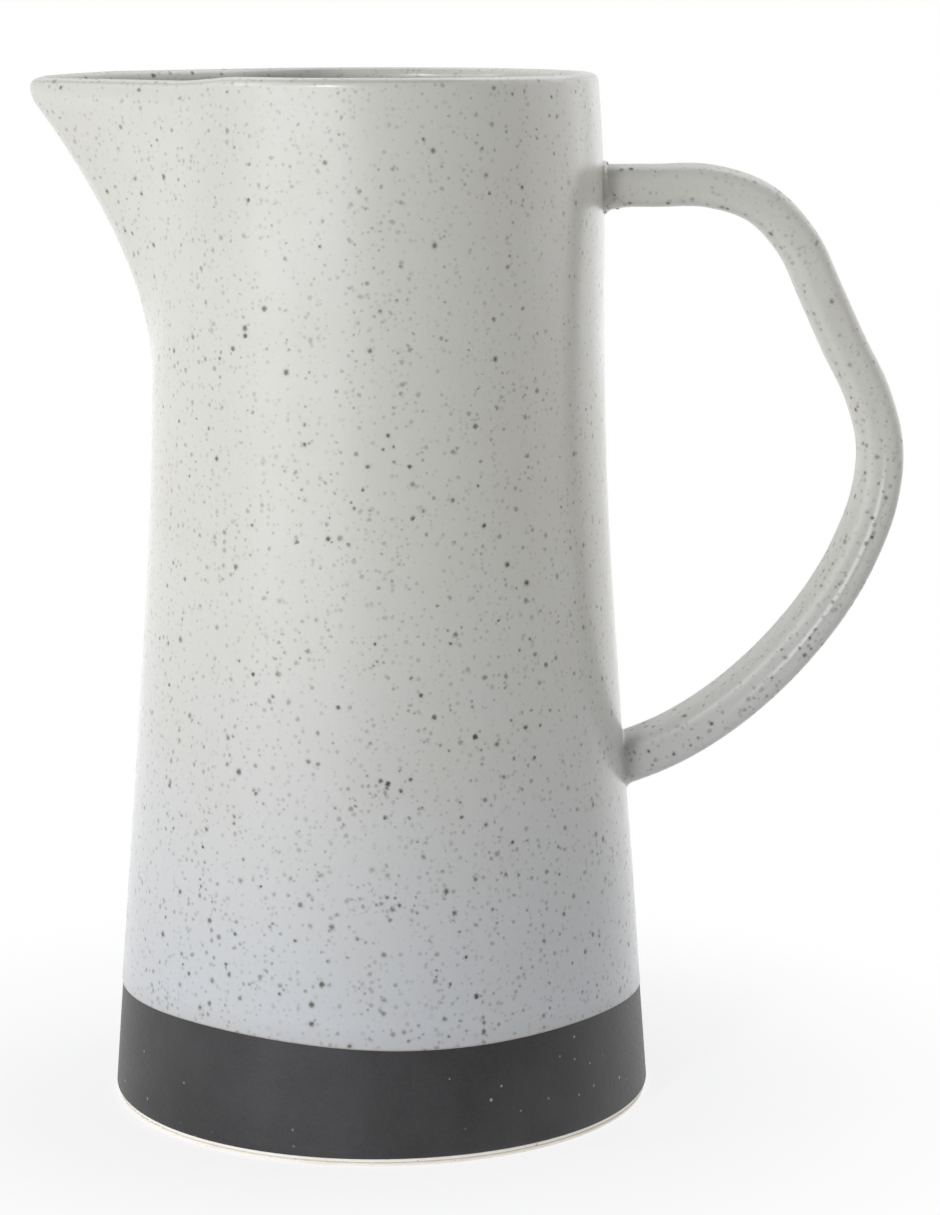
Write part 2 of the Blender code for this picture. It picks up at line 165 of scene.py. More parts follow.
class JugColours(bpy.types.PropertyGroup):
    """Colours of the jug's finishes."""

    glaze_top: colour("Glaze Top", "Glaze of the upper wall", (0.702, 0.687, 0.634))
    glaze_foot: colour("Glaze Foot", "Glaze just above the band", (0.600, 0.612, 0.640))
    cloud: colour("Cloud", "Broad warm clouds in the glaze", (0.620, 0.570, 0.480))
    mottle: colour("Mottle", "Fine mottle of the glaze", (0.500, 0.500, 0.470))
    # Painted highlight along the strap's fine ridge
    crest: colour("Crest", "Glaze over a fine ridge", (0.930, 0.930, 0.920))
    # Grey: partly the glaze breaking thin on the lip's outer edge, partly painted shade there and inside the
    # mouth
    grey: colour("Grey", "Glaze on the lip's edge and inside the mouth", (0.360, 0.360, 0.380))
    speck: colour("Speck", "Iron specks in the glaze", (0.085, 0.078, 0.060))
    rust: colour("Rust", "Rusty rims and thin glaze", (0.300, 0.235, 0.150))
    charcoal: colour("Charcoal", "Matte band", (0.0098, 0.0091, 0.0106))
    bloom: colour("Bloom", "Paler clouds in the band", (0.062, 0.060, 0.063))
    dust: colour("Dust", "Pale specks in the band", (0.480, 0.470, 0.450))
    pit: colour("Pit", "Pits in the band", (0.022, 0.021, 0.022))
    clay: colour("Clay", "Bare fired clay", (0.940, 0.900, 0.840))
    sand: colour("Sand", "Sandy grain of the clay", (0.800, 0.740, 0.650))
    toast: colour("Toast", "Toasted patches of the clay", (0.780, 0.650, 0.540))
    grit: colour("Grit", "Dark grains in the clay", (0.190, 0.140, 0.095))
    groove: colour("Groove", "Clay in the foot's turned line", (0.300, 0.230, 0.170))
    slip: colour("Slip", "Crumbs of joining slip", (0.800, 0.740, 0.600))
    burnt: colour("Burnt", "Toasted crumbs of joining slip", (0.150, 0.095, 0.050))
    floor: colour("Floor", "Studio floor", (0.920, 0.920, 0.920))


def smooth(low, high, value):
    """Smooth step of value from 0 at low to 1 at high; low may be the larger one."""
    t = min(1.0, max(0.0, (value - low) / (high - low)))
    return t * t * (3 - 2 * t)


def spread(start, end, steps):
    return [start + (end - start) * i / (steps - 1) for i in range(steps)]


def cubic(controls, t):
    a, b, c, d = controls
    return a * (1 - t) ** 3 + 3 * b * t * (1 - t) ** 2 + 3 * c * t * t * (1 - t) + d * t ** 3


class JugForm:
    """The jug's outside, worked out from its sizes and measured from the round body's axis."""

    BASE_HOLD = 0.52
    SHOULDER_HOLD = 0.345
    SPOUT_CURVE = 1.8
    NOSE_SHARE = 2.6
    FRONT_FADE = (0.75, 1.0)
    BACK_FADE = (0.0, 0.5)
    HALVINGS = 40
    FLOOR_RINGS = 8

    def __init__(self, sizes):
        self.sizes = sizes
        self.lip_radius = sizes.wall / 2
        self.lip_height = sizes.height - self.lip_radius
        self.shoulder = sizes.height - sizes.shoulder_drop
        self.spout_start = sizes.height - sizes.spout_drop
        self.wall_start = sizes.floor_height + sizes.floor_fillet
        self.radii = {}

    def radius(self, z):
        """Outside radius of the round wall at height z."""
        if z not in self.radii:
            self.radii[z] = self.work_out_radius(z)
        return self.radii[z]

    def work_out_radius(self, z):
        s = self.sizes
        if z >= self.shoulder:
            rise = (z - self.shoulder) / (self.lip_height - self.shoulder)
            return s.shoulder_radius - (s.shoulder_radius - s.rim_radius) * rise * rise
        if z <= s.corner_height:
            return s.base_radius
        span = self.shoulder - s.corner_height
        hold = self.BASE_HOLD * span
        heights = (0.0, hold, (1 - self.SHOULDER_HOLD) * span, span)
        leaned = s.base_radius - hold * math.tan(s.base_lean)
        radii = (s.base_radius, leaned, s.shoulder_radius, s.shoulder_radius)
        low, high = 0.0, 1.0
        for _ in range(self.HALVINGS):
            middle = (low + high) / 2
            if cubic(heights, middle) < z - s.corner_height:
                low = middle
            else:
                high = middle
        return cubic(radii, low)

    def rise(self, z):
        return min(1.0, max(0.0, (z - self.spout_start) / (self.lip_height - self.spout_start)))

    def lean(self, rise):
        """Share of its reach that the spout has at a rise: it leans out, then rolls upright at the lip."""
        roll = self.sizes.spout_roll / (self.lip_height - self.spout_start)
        straight = 1.0 - roll
        slope = self.SPOUT_CURVE * straight ** (self.SPOUT_CURVE - 1)
        past = max(0.0, rise - straight)
        lean = min(rise, straight) ** self.SPOUT_CURVE + slope * (past - past ** 2 / (2 * roll))
        return lean / (straight ** self.SPOUT_CURVE + slope * roll / 2)

    def stretched(self, z, turn):
        """Point, outward direction and place on the spout's side, on a hull of the wall and the nose."""
        s = self.sizes
        rise = self.rise(z)
        wall = self.radius(z)
        nose = s.nose_start + (s.nose_tip - s.nose_start) * rise
        offset = wall - nose + (s.spout_reach - s.rim_radius) * self.lean(rise)
        lean = math.acos(min(1.0, (wall - nose) / offset))
        flank = math.sqrt(max(0.0, offset ** 2 - (wall - nose) ** 2))
        nose_run = self.NOSE_SHARE * nose * lean
        along = turn / math.pi * (nose_run + flank + wall * (math.pi - lean))
        if along < nose_run:
            angle, radius, middle, slide = along / (self.NOSE_SHARE * nose), nose, -offset, 0.0
        elif along < nose_run + flank:
            angle, radius, middle, slide = lean, nose, -offset, along - nose_run
        else:
            angle, radius, middle, slide = lean + (along - nose_run - flank) / wall, wall, 0.0, 0.0
        out = (-math.cos(angle), math.sin(angle))
        point = (middle + radius * out[0] + slide * out[1], radius * out[1] - slide * out[0])
        return point, out, min(1.0, along / (nose_run + flank)) if flank else 1.0

    def point(self, radius, z, turn, side):
        """Place in the frame of a turned point, pulled out with the spout; side is -1 in front, 1 behind."""
        depth = self.radius(z) - radius
        if z <= self.spout_start:
            return Vector((AXIS_X - radius * math.cos(turn), side * radius * math.sin(turn), z))
        spot, out, place = self.stretched(z, turn)
        start, end = self.FRONT_FADE if side < 0 else self.BACK_FADE
        dip = self.sizes.spout_dip * smooth(end, start, place) * self.rise(z) ** 2
        return Vector((AXIS_X + spot[0] - depth * out[0], side * (spot[1] - depth * out[1]), z - dip))

    def wall_line(self, depth, start, end, rings):
        return [(self.radius(z) - depth, z) for z in spread(start, end, rings)]

    def whole_wall(self, depth, start, end, rings):
        """Line up or down the wall, with its own number of rings before and after the spout's start."""
        before, after = rings
        line = self.wall_line(depth, start, self.spout_start, before)
        return line + self.wall_line(depth, self.spout_start, end, after)[1:]

    def lip_arc(self, radius, start, end, steps):
        """Points over the lip's crown; angle 0 faces out and 180 degrees faces in."""
        middle = self.radius(self.lip_height) - self.lip_radius
        return [(middle + radius * math.cos(a), self.lip_height + radius * math.sin(a))
                for a in spread(start, end, steps)]

    def corner_arc(self, radius, end, steps):
        middle = self.sizes.base_radius - self.sizes.base_corner
        return [(middle + radius * math.cos(a), self.sizes.corner_height + radius * math.sin(a))
                for a in spread(0.0, -end, steps)]

    def inside_line(self, grow, top, steps, rings):
        """Line from the axis over the floor and up the inside, grown outwards from the glazed inside face."""
        s = self.sizes
        middle = self.radius(self.wall_start) - s.wall - s.floor_fillet
        radius = s.floor_fillet + grow
        flat = [(r, s.floor_height - grow) for r in spread(0.0, middle, self.FLOOR_RINGS)[:-1]]
        fillet = [(middle + radius * math.sin(a), self.wall_start - radius * math.cos(a))
                  for a in spread(0.0, math.radians(90), steps)]
        return flat + fillet + self.whole_wall(s.wall - grow, self.wall_start, top, rings)[1:]

    def turned(self, profile, columns):
        """Columns of a profile's points, once round the jug."""
        return [[self.point(r, z, turn, side) for r, z in profile] for turn, side, _ in round_about(columns)]


def edge_wave(angle):
    """How far the glaze's lower edge lies above its mean height, by the angle from the front."""
    wave = EDGE_SETTLE
    for k, (cosine, sine) in enumerate(EDGE_WAVES, 1):
        wave += cosine * math.cos(k * angle) + sine * math.sin(k * angle)
    return wave * MM


def hand_play(point, amount):
    """Slight unevenness of a hand-made surface at a point."""
    return sum(part * amount * noise.noise(point * scale) for scale, part in PLAY_WAVES)


def round_about(columns):
    """Turn from the spout, side and angle from the front of each column."""
    for j in range(columns):
        around = 2 * math.pi * j / columns
        side = -1.0 if around <= math.pi else 1.0
        turn = around if around <= math.pi else 2 * math.pi - around
        angle = math.atan2(-math.cos(turn), -side * math.sin(turn))
        yield turn, side, angle


def weld(mesh, drop_slivers=False):
    """Join points that meet, drop faces without area where asked, and turn all faces outwards."""
    work = bmesh.new()
    work.from_mesh(mesh)
    bmesh.ops.remove_doubles(work, verts=work.verts, dist=WELD)
    if drop_slivers:
        bmesh.ops.dissolve_degenerate(work, edges=work.edges, dist=WELD)
    bmesh.ops.recalc_face_normals(work, faces=work.faces)
    work.to_mesh(mesh)
    work.free()


def turned_mesh(name, columns, closed, **row_values):
    """Mesh of columns of points that go once round the jug; columns of an open profile end on the axis.

    Each list of row values becomes a named value of the points in those rows.
    """
    rows = len(columns[0])
    points = [p for column in columns for p in column]
    faces = []
    for j in range(len(columns)):
        here, there = j * rows, (j + 1) % len(columns) * rows
        for i in range(rows if closed else rows - 1):
            k = (i + 1) % rows
            faces.append((here + i, there + i, there + k, here + k))
    mesh = bpy.data.meshes.new(name)
    mesh.from_pydata(points, [], faces)
    for key, values in row_values.items():
        mesh.attributes.new(key, "FLOAT", "POINT").data.foreach_set("value", values * len(columns))
    weld(mesh, drop_slivers=True)
    return mesh


def add_values(mesh, name, value_at):
    """Give each point of a mesh a named value worked out from its place."""
    values = mesh.attributes.new(name, "FLOAT", "POINT")
    values.data.foreach_set("value", [value_at(vertex.co) for vertex in mesh.vertices])


def make_piece(mesh, material, node, sharp=40.0):
    """Object of a finished mesh that stands for a node of the frame."""
    mesh.materials.clear()
    mesh.materials.append(material)
    mesh.shade_smooth()
    mesh.set_sharp_from_angle(angle=math.radians(sharp))
    piece = bpy.data.objects.new(mesh.name, mesh)
    bpy.context.scene.collection.objects.link(piece)
    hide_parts(node)
    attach(piece, BODY)
    return piece


class Value:
    """A node socket that takes part in Python expressions; each operation adds a Math node."""

    def __init__(self, kit, socket):
        self.kit = kit
        self.socket = socket

    def __add__(self, other):
        return self.kit.math("ADD", self, other)

    def __sub__(self, other):
        return self.kit.math("SUBTRACT", self, other)

    def __rsub__(self, other):
        return self.kit.math("SUBTRACT", other, self)

    def __mul__(self, other):
        return self.kit.math("MULTIPLY", self, other)

    def __truediv__(self, other):
        return self.kit.math("DIVIDE", self, other)

    def __rtruediv__(self, other):
        return self.kit.math("DIVIDE", other, self)

    def __pow__(self, other):
        return self.kit.math("POWER", self, other)

    def __lt__(self, other):
        return self.kit.math("LESS_THAN", self, other)

    __radd__ = __add__
    __rmul__ = __mul__


class NodeKit:
    """Builds the nodes of one tree."""

    # Places of a Mix node's sockets for two colours and their mix
    MIX_FIRST = 6
    MIX_SECOND = 7
    MIX_RESULT = 2

    def __init__(self, tree):
        self.tree = tree

    def node(self, kind, settings=None, sockets=None, out=0):
        """Add a node, set its settings, then its sockets' values or links, and give one of its outputs."""
        made = self.tree.nodes.new(kind)
        for key, value in (settings or {}).items():
            setattr(made, key, value)
        for key, value in (sockets or {}).items():
            if isinstance(value, Value):
                self.tree.links.new(value.socket, made.inputs[key])
            else:
                made.inputs[key].default_value = value
        self.last = made
        return Value(self, made.outputs[out]) if len(made.outputs) else made

    def output(self, name):
        """Another output of the node made last."""
        return Value(self, self.last.outputs[name])

    def math(self, operation, first, second=0.0):
        return self.node("ShaderNodeMath", {"operation": operation}, {0: first, 1: second})

    def vector_math(self, operation, first, second=(0.0, 0.0, 0.0), out=0):
        return self.node("ShaderNodeVectorMath", {"operation": operation}, {0: first, 1: second}, out)

    def scaled(self, vector, factor):
        return self.node("ShaderNodeVectorMath", {"operation": "SCALE"}, {0: vector, "Scale": factor})

    def ramp(self, value, low, high, to_low=0.0, to_high=1.0, steps="SMOOTHSTEP"):
        """Value mapped smoothly from one range to another and held at both ends."""
        return self.node("ShaderNodeMapRange", {"interpolation_type": steps},
                         {"Value": value, "From Min": low, "From Max": high,
                          "To Min": to_low, "To Max": to_high})

    def mix(self, factor, first, second):
        """Mix of two colours."""
        def four(value):
            return value if isinstance(value, Value) else (*value, 1.0)
        return self.node("ShaderNodeMix", {"data_type": "RGBA"},
                         {0: factor, self.MIX_FIRST: four(first), self.MIX_SECOND: four(second)},
                         self.MIX_RESULT)

    def noise(self, vector, scale, detail=2.0, roughness=0.5, out=0):
        return self.node("ShaderNodeTexNoise", {"noise_dimensions": "3D"},
                         {"Vector": vector, "Scale": scale, "Detail": detail, "Roughness": roughness}, out)

    def attribute(self, name):
        return self.node("ShaderNodeAttribute", {"attribute_name": name}, out="Fac")


class FinishKit(NodeKit):
    """Builds the nodes of one material; places are millimetres."""

    # Smallest size of a speck and how far the sizes vary, as shares of its radius
    SPECK_LEAST = 0.70
    SPECK_SPREAD = 0.60

    def __init__(self, name):
        self.material = bpy.data.materials.new(name)
        self.material.use_nodes = True
        super().__init__(self.material.node_tree)
        self.tree.nodes.clear()
        coordinates = self.node("ShaderNodeTexCoord", out="Object")
        self.place = self.scaled(coordinates, 1.0 / MM)

    def height(self):
        self.node("ShaderNodeSeparateXYZ", sockets={0: self.place})
        return self.output("Z")

    def specks(self, place, cell, radius, part, strength, softness=0.35):
        """Mask of scattered specks: one at most in each cell, in part of the cells, each of its own size."""
        near = self.node("ShaderNodeTexVoronoi", {"voronoi_dimensions": "3D", "feature": "F1"},
                         {"Vector": place, "Scale": 1.0 / cell, "Randomness": 1.0}, "Distance")
        lot = self.output("Color")
        self.node("ShaderNodeSeparateColor", sockets={0: lot})
        red, green, blue = (self.output(name) for name in ("Red", "Green", "Blue"))
        size = (red * red * self.SPECK_SPREAD + self.SPECK_LEAST) * radius
        distance = near * cell
        body = self.ramp(distance / size, 1.0 + softness, 1.0 - softness)
        return body * (green < part) * (blue * (1.0 - strength) + strength)

    def layered(self, base, *layers):
        """Colour with others laid over it; a layer is a mask, how much of it shows, and a colour."""
        for mask, depth, tint in layers:
            base = self.mix(mask * depth, base, tint)
        return base

    def bump(self, height, strength=1.0, distance=MM):
        return self.node("ShaderNodeBump",
                         sockets={"Strength": strength, "Distance": distance, "Height": height})

    def finish(self, base, roughness, normal, ior=1.5):
        shader = self.node("ShaderNodeBsdfPrincipled", sockets={
            "Base Color": base, "Roughness": roughness, "Normal": normal, "IOR": ior})
        self.node("ShaderNodeOutputMaterial", sockets={"Surface": shader})
        return self.material


def shared(make):
    """A finish of several pieces: made for the first of them, and found again by the name of its function."""
    def finish(colours):
        return bpy.data.materials.get(make.__name__) or make(colours)
    return finish


def glaze_colours(kit, colours):
    """Colour, speck mask and thinness of the speckled glaze at a place."""
    place = kit.place
    stir = kit.vector_math("SUBTRACT", kit.noise(place, 1.7, 1.0, out="Color"), (0.5, 0.5, 0.5))
    bent = kit.vector_math("ADD", place, kit.scaled(stir, 0.55))
    iron = kit.attribute("iron")
    thin = kit.attribute("thin")
    specks = {}
    for kind, (cell, radius, plain, by_iron, strength, softness) in GLAZE_SPECKS.items():
        specks[kind] = kit.specks(bent, cell, radius, iron * by_iron + plain, strength, softness)

    drop = kit.ramp(kit.height(), 150.0, 27.0, steps="LINEAR") ** 1.5
    base = kit.layered(
        kit.mix(drop, colours.glaze_top, colours.glaze_foot),
        (kit.ramp(kit.noise(place, 0.045, 3.0), 0.42, 0.75), 0.14, colours.cloud),
        (kit.ramp(kit.noise(place, 1.5, 2.0, 0.6), 0.25, 0.75, steps="LINEAR"), 0.12, colours.mottle),
        # Painted highlight along the strap's ridge
        (kit.attribute("pale"), 0.55, colours.crest),
        # Grey on the lip's outer edge is partly the glaze breaking thin and partly painted shade; inside the
        # mouth it is painted shade
        (kit.attribute("grey"), 0.42, colours.grey),
        (specks["halo"], 0.14, colours.rust),
        (specks["faint"], 0.30, colours.speck),
        (specks["middling"], 0.54, colours.speck),
        (kit.math("MAXIMUM", specks["dark"], specks["large"]), 1.0, colours.speck),
        (thin, 0.60, colours.rust))
    return base, specks["dark"], thin


@shared
def satin_speckled_glaze(colours):
    """Satin grey-white glaze with iron specks, denser lower down, and a rusty line where it runs thin."""
    kit = FinishKit("satin_speckled_glaze")
    base, dark, thin = glaze_colours(kit, colours)
    sheen = kit.ramp(kit.noise(kit.place, 0.35), 0.3, 0.7, 0.19, 0.24)
    roughness = sheen + dark * 0.12 + thin * 0.15 + kit.attribute("dull") * 0.18
    height = kit.noise(kit.place, 0.12, 1.0) * 0.014 - dark * 0.004
    return kit.finish(base, roughness, kit.bump(height))


def glazed_slip(colours):
    """Glaze over joining slip: creamier, with rusty pits."""
    kit = FinishKit("glazed_slip")
    base, dark, _ = glaze_colours(kit, colours)
    patch = kit.ramp(kit.noise(kit.place, 0.9, 3.0, 0.6), 0.54, 0.68)
    pits = kit.specks(kit.place, 1.3, 0.30, 0.35, 0.5)
    base = kit.layered(base, (patch, 0.70, colours.slip), (pits, 0.55, colours.rust))
    roughness = kit.ramp(patch, 0.0, 1.0, 0.30, 0.55)
    height = kit.noise(kit.place, 0.8, 3.0) * 0.14 - pits * 0.06 - dark * 0.01
    return kit.finish(base, roughness, kit.bump(height))


def matte_charcoal(colours):
    """Matte charcoal coat with a fine grain and a few pale specks."""
    kit = FinishKit("matte_charcoal")
    grain = kit.noise(kit.place, 1.25, 3.0, 0.65)
    cloud = kit.ramp(kit.noise(kit.place, 0.07, 3.0), 0.3, 0.7)
    pale = kit.specks(kit.place, 3.4, 0.29, 0.50, 0.2, 0.5)
    pits = kit.specks(kit.place, 2.1, 0.30, 0.45, 0.4, 0.5)
    darker, lighter = ([c * change for c in colours.charcoal] for change in (0.40, 1.70))
    base = kit.layered(kit.mix(kit.ramp(grain, 0.30, 0.70, steps="LINEAR"), darker, lighter),
                       (cloud, 0.22, colours.bloom), (pale, 0.75, colours.dust), (pits, 0.50, colours.pit))
    height = grain * 0.060 + kit.noise(kit.place, 0.4) * 0.05 + pale * 0.03 - pits * 0.03
    return kit.finish(base, kit.ramp(grain, 0.3, 0.7, 0.42, 0.52), kit.bump(height), 1.58)


@shared
def bare_clay(colours):
    """Bare fired clay, cream and dry, with sandy grains and a darker line in the foot's groove."""
    kit = FinishKit("bare_clay")
    grain = kit.noise(kit.place, 1.9, 4.0, 0.6)
    toast = kit.ramp(kit.noise(kit.place, 0.09, 3.0), 0.45, 0.75)
    grit = kit.specks(kit.place, 1.7, 0.26, 0.40, 0.4, 0.4)
    base = kit.layered(kit.mix(kit.ramp(grain, 0.3, 0.7, 0.0, 0.30), colours.clay, colours.sand),
                       (toast, 0.30, colours.toast), (grit, 0.55, colours.grit),
                       (kit.attribute("groove"), 0.40, colours.groove))
    height = grain * 0.05 + grit * 0.04
    return kit.finish(base, kit.ramp(grain, 0.3, 0.7, 0.78, 0.90), kit.bump(height), 1.45)


def slip_crumb(colours):
    """Cream crumbs of slip, some of them toasted."""
    kit = FinishKit("slip_crumb")
    patch = kit.noise(kit.place, 0.8)
    base = kit.mix(kit.ramp(patch, 0.50, 0.60), colours.slip, colours.burnt)
    normal = kit.bump(kit.noise(kit.place, 4.0), 0.6, 0.1 * MM)
    return kit.finish(base, kit.ramp(patch, 0.3, 0.7, 0.5, 0.7), normal)


class JUG_OT_outer_glaze(bpy.types.Operator):
    """Coat of glaze over the outside, from the wavy line above the band over the lip to just inside"""

    bl_idname = "jug.outer_glaze"
    bl_label = "Outer Glaze"

    INSIDE_REACH = 7.0 * MM
    EDGE_ROUND = 0.55 * MM
    EDGE_FADE = 24.0 * MM
    EDGE_STEPS = 6
    RINGS = (34, 44)
    LIP_STEPS = 37
    BACK_LIP_STEPS = 13
    INSIDE_RINGS = 8
    # Heights above the glaze's edge where it has its full thickness and where it is thinnest
    THINNING = (0.75 * MM, 0.10 * MM)
    # Where the lip's outer edge turns grey, partly the glaze breaking thin and partly painted shade: angle
    # above level and half width
    LIP_GREY = (math.radians(42), math.radians(15))
    # Painted shade inside the mouth: how grey, places from the axis where that starts and is full on its left
    # and right, and the share of the lip's radius over which it comes in
    MOUTH_GREY = 1.3
    MOUTH_LEFT = (-36.0 * MM, -27.0 * MM)
    MOUTH_RIGHT = (-4.0 * MM, -18.0 * MM)
    MOUTH_ROUND = 0.8
    # Iron that is lost from the band to half the height, and from there to the lip
    IRON_LOSS = (0.55, 0.17)

    def execute(self, context):
        sizes = context.scene.jug_sizes
        form = JugForm(sizes)
        front, back, thin, grey = self.profile(form)
        columns = [self.column(form, front, back, turn, side, edge_wave(angle))
                   for turn, side, angle in round_about(sizes.columns)]
        mesh = turned_mesh("glazed_wall", columns, True, thin=thin, grey=grey)
        self.shade_mouth(form, mesh)
        low, middle, high = sizes.band_height, 0.5 * sizes.height, sizes.height
        below, above = self.IRON_LOSS
        add_values(mesh, "iron", lambda p: (
            1.0 - below * smooth(low, middle, p.z) - above * smooth(middle, high, p.z)))
        make_piece(mesh, satin_speckled_glaze(context.scene.jug_colours), "outer_glaze")
        return {"FINISHED"}

    def profile(self, form):
        """Turned line of the coat, from its edge over the lip to the inside; its back; each row's values."""
        s = form.sizes
        bottom = s.band_height
        edge = [(form.radius(bottom) - (s.glaze_proud + HIDDEN) * (1 - math.sin(a)),
                 bottom + self.EDGE_ROUND * (1 - math.cos(a)))
                for a in spread(0.0, math.radians(90), self.EDGE_STEPS)]
        outside = form.whole_wall(0.0, bottom + self.EDGE_ROUND, form.lip_height, self.RINGS)[1:]
        crown = form.lip_arc(form.lip_radius, 0.0, math.pi, self.LIP_STEPS)[1:]
        inside = [(form.radius(z) - s.wall + HIDDEN * (1 - 2 * t), z) for t, z in zip(
            spread(0.0, 1.0, self.INSIDE_RINGS),
            spread(form.lip_height, form.lip_height - self.INSIDE_REACH, self.INSIDE_RINGS))][1:]
        front = edge + outside + crown + inside
        back = [(form.radius(z) - s.wall + s.coat, z) for _, z in inside[::-1]]
        back += form.lip_arc(form.lip_radius - s.coat, math.pi, 0.0, self.BACK_LIP_STEPS)
        back += form.whole_wall(s.coat, form.lip_height, bottom + HIDDEN, self.RINGS[::-1])[1:]
        middle, half = self.LIP_GREY
        thin = [smooth(*self.THINNING, z - bottom) for _, z in edge + outside]
        grey = [0.0] * len(thin)
        grey += [smooth(half, 0.0, abs(a - middle)) for a in spread(0.0, math.pi, self.LIP_STEPS)[1:]]
        rows = len(front) + len(back)
        return front, back, thin + [0.0] * (rows - len(thin)), grey + [0.0] * (rows - len(grey))

    def shade_mouth(self, form, mesh):
        """Painted shade inside the lip, where the back of the round wall turns into the spout."""
        crown = form.sizes.rim_radius - form.lip_radius
        grey = mesh.attributes["grey"].data
        for vertex in mesh.vertices:
            across, back, z = vertex.co.x - AXIS_X, vertex.co.y, vertex.co.z
            if back > 0.0 and z > form.lip_height - self.INSIDE_REACH:
                place = smooth(*self.MOUTH_LEFT, across) * smooth(*self.MOUTH_RIGHT, across)
                depth = smooth(0.0, self.MOUTH_ROUND * form.lip_radius, crown - math.hypot(across, back))
                fade = smooth(self.INSIDE_REACH, self.INSIDE_REACH / 2, form.lip_height - z)
                grey[vertex.index].value += self.MOUTH_GREY * place * depth * fade

    def column(self, form, front, back, turn, side, wave):
        """Points of one column: its front moved in or out by the wall's unevenness, and its plain back."""
        s = form.sizes
        low, high = s.band_height, s.band_height + self.EDGE_FADE
        points = []
        for radius, z in front:
            z += wave * smooth(high, low, z)
            spot = form.point(radius, z, turn, side)
            points.append(form.point(radius + hand_play(spot, s.hand_play), z, turn, side))
        for radius, z in back:
            points.append(form.point(radius, z + wave * smooth(high, low, z), turn, side))
        return points


class JUG_OT_inner_glaze(bpy.types.Operator):
    """Coat of glaze over the floor and the inside of the wall, up to the lip"""

    bl_idname = "jug.inner_glaze"
    bl_label = "Inner Glaze"

    BELOW_LIP = 1.0 * MM
    FILLET_STEPS = 12
    RINGS = (26, 36)
    IRON = 0.55

    def execute(self, context):
        sizes = context.scene.jug_sizes
        form = JugForm(sizes)
        face, back = (form.inside_line(grow, form.lip_height - self.BELOW_LIP, self.FILLET_STEPS, self.RINGS)
                      for grow in (0.0, sizes.coat))
        mesh = turned_mesh("glazed_inside", form.turned(face + back[::-1], sizes.columns), False)
        add_values(mesh, "iron", lambda p: self.IRON)
        make_piece(mesh, satin_speckled_glaze(context.scene.jug_colours), "inner_glaze")
        return {"FINISHED"}


class JUG_OT_clay_body(bpy.types.Operator):
    """Clay of the jug, bare at the turned foot and under the base"""

    bl_idname = "jug.clay_body"
    bl_label = "Clay Body"

    FILLET_STEPS = 10
    INSIDE_RINGS = (20, 30)
    OUTSIDE_RINGS = (30, 30)
    LIP_STEPS = 12
    CORNER_STEPS = 8
    CORNER_END = math.radians(86)
    # Turned line round the foot: its upper and lower edge, the heights between which it is darker, and the
    # depths where that starts and is full
    GROOVE = (1.15 * MM, 0.72 * MM)
    GROOVE_STEPS = 9
    TOAST_HEIGHTS = (0.55 * MM, 1.5 * MM)
    TOAST_DEPTHS = (0.03 * MM, 0.16 * MM)
    FOOT_STEPS = 5
    SLOPE_STEPS = 8
    # Tool rings under the base: half the distance between two of them, and their depth
    TOOL_HALF = 1.9 * MM
    TOOL_DEPTH = 0.06 * MM
    TOOL_STEPS = 160

    def execute(self, context):
        sizes = context.scene.jug_sizes
        form = JugForm(sizes)
        sunk = sizes.coat + HIDDEN
        inside = form.inside_line(sunk, form.lip_height, self.FILLET_STEPS, self.INSIDE_RINGS)
        lip = form.lip_arc(form.lip_radius - sunk, math.pi, 0.0, self.LIP_STEPS)[1:]
        outside = form.whole_wall(sunk, form.lip_height, sizes.corner_height, self.OUTSIDE_RINGS)[1:]
        corner = form.corner_arc(sizes.base_corner - sunk, self.CORNER_END, self.CORNER_STEPS)[1:]
        profile = inside + lip + outside + corner + self.foot_line(sizes)
        mesh = turned_mesh("clay_body", form.turned(profile, sizes.columns * 3 // 4), False)
        foot = sizes.base_radius - sizes.base_corner
        low, high = self.TOAST_HEIGHTS

        def groove(p):
            depth = foot - math.hypot(p.x - AXIS_X, p.y)
            return smooth(*self.TOAST_DEPTHS, depth) if low < p.z < high else 0.0
        add_values(mesh, "groove", groove)
        make_piece(mesh, bare_clay(context.scene.jug_colours), "body")
        return {"FINISHED"}

    def foot_line(self, sizes):
        """Foot ring with a turned line round it, and tool rings in the hollow under the base."""
        foot = sizes.base_radius - sizes.base_corner
        inner = foot - sizes.foot_chamfer - sizes.foot_width
        heights = spread(*self.GROOVE, self.GROOVE_STEPS)
        groove = [(foot - sizes.foot_groove * math.sin(t * math.pi) ** 2, z)
                  for t, z in zip(spread(0.0, 1.0, self.GROOVE_STEPS), heights)]
        chamfer = [(foot - sizes.foot_chamfer * (1 - math.cos(a)), sizes.foot_chamfer * (1 - math.sin(a)))
                   for a in spread(0.0, math.radians(90), self.FOOT_STEPS)]
        land = [(r, 0.0) for r in spread(foot - sizes.foot_chamfer, inner, self.FOOT_STEPS)][1:]
        slope = [(inner - sizes.recess_slope * t, sizes.recess_depth * smooth(0.0, 1.0, t))
                 for t in spread(0.0, 1.0, self.SLOPE_STEPS)][1:]
        hollow = inner - sizes.recess_slope
        rings = [(r, sizes.recess_depth + self.TOOL_DEPTH * (1 - math.cos(r / self.TOOL_HALF * math.pi)) / 2)
                 for r in spread(hollow, 0.0, self.TOOL_STEPS)][1:]
        return groove + chamfer + land + slope + rings


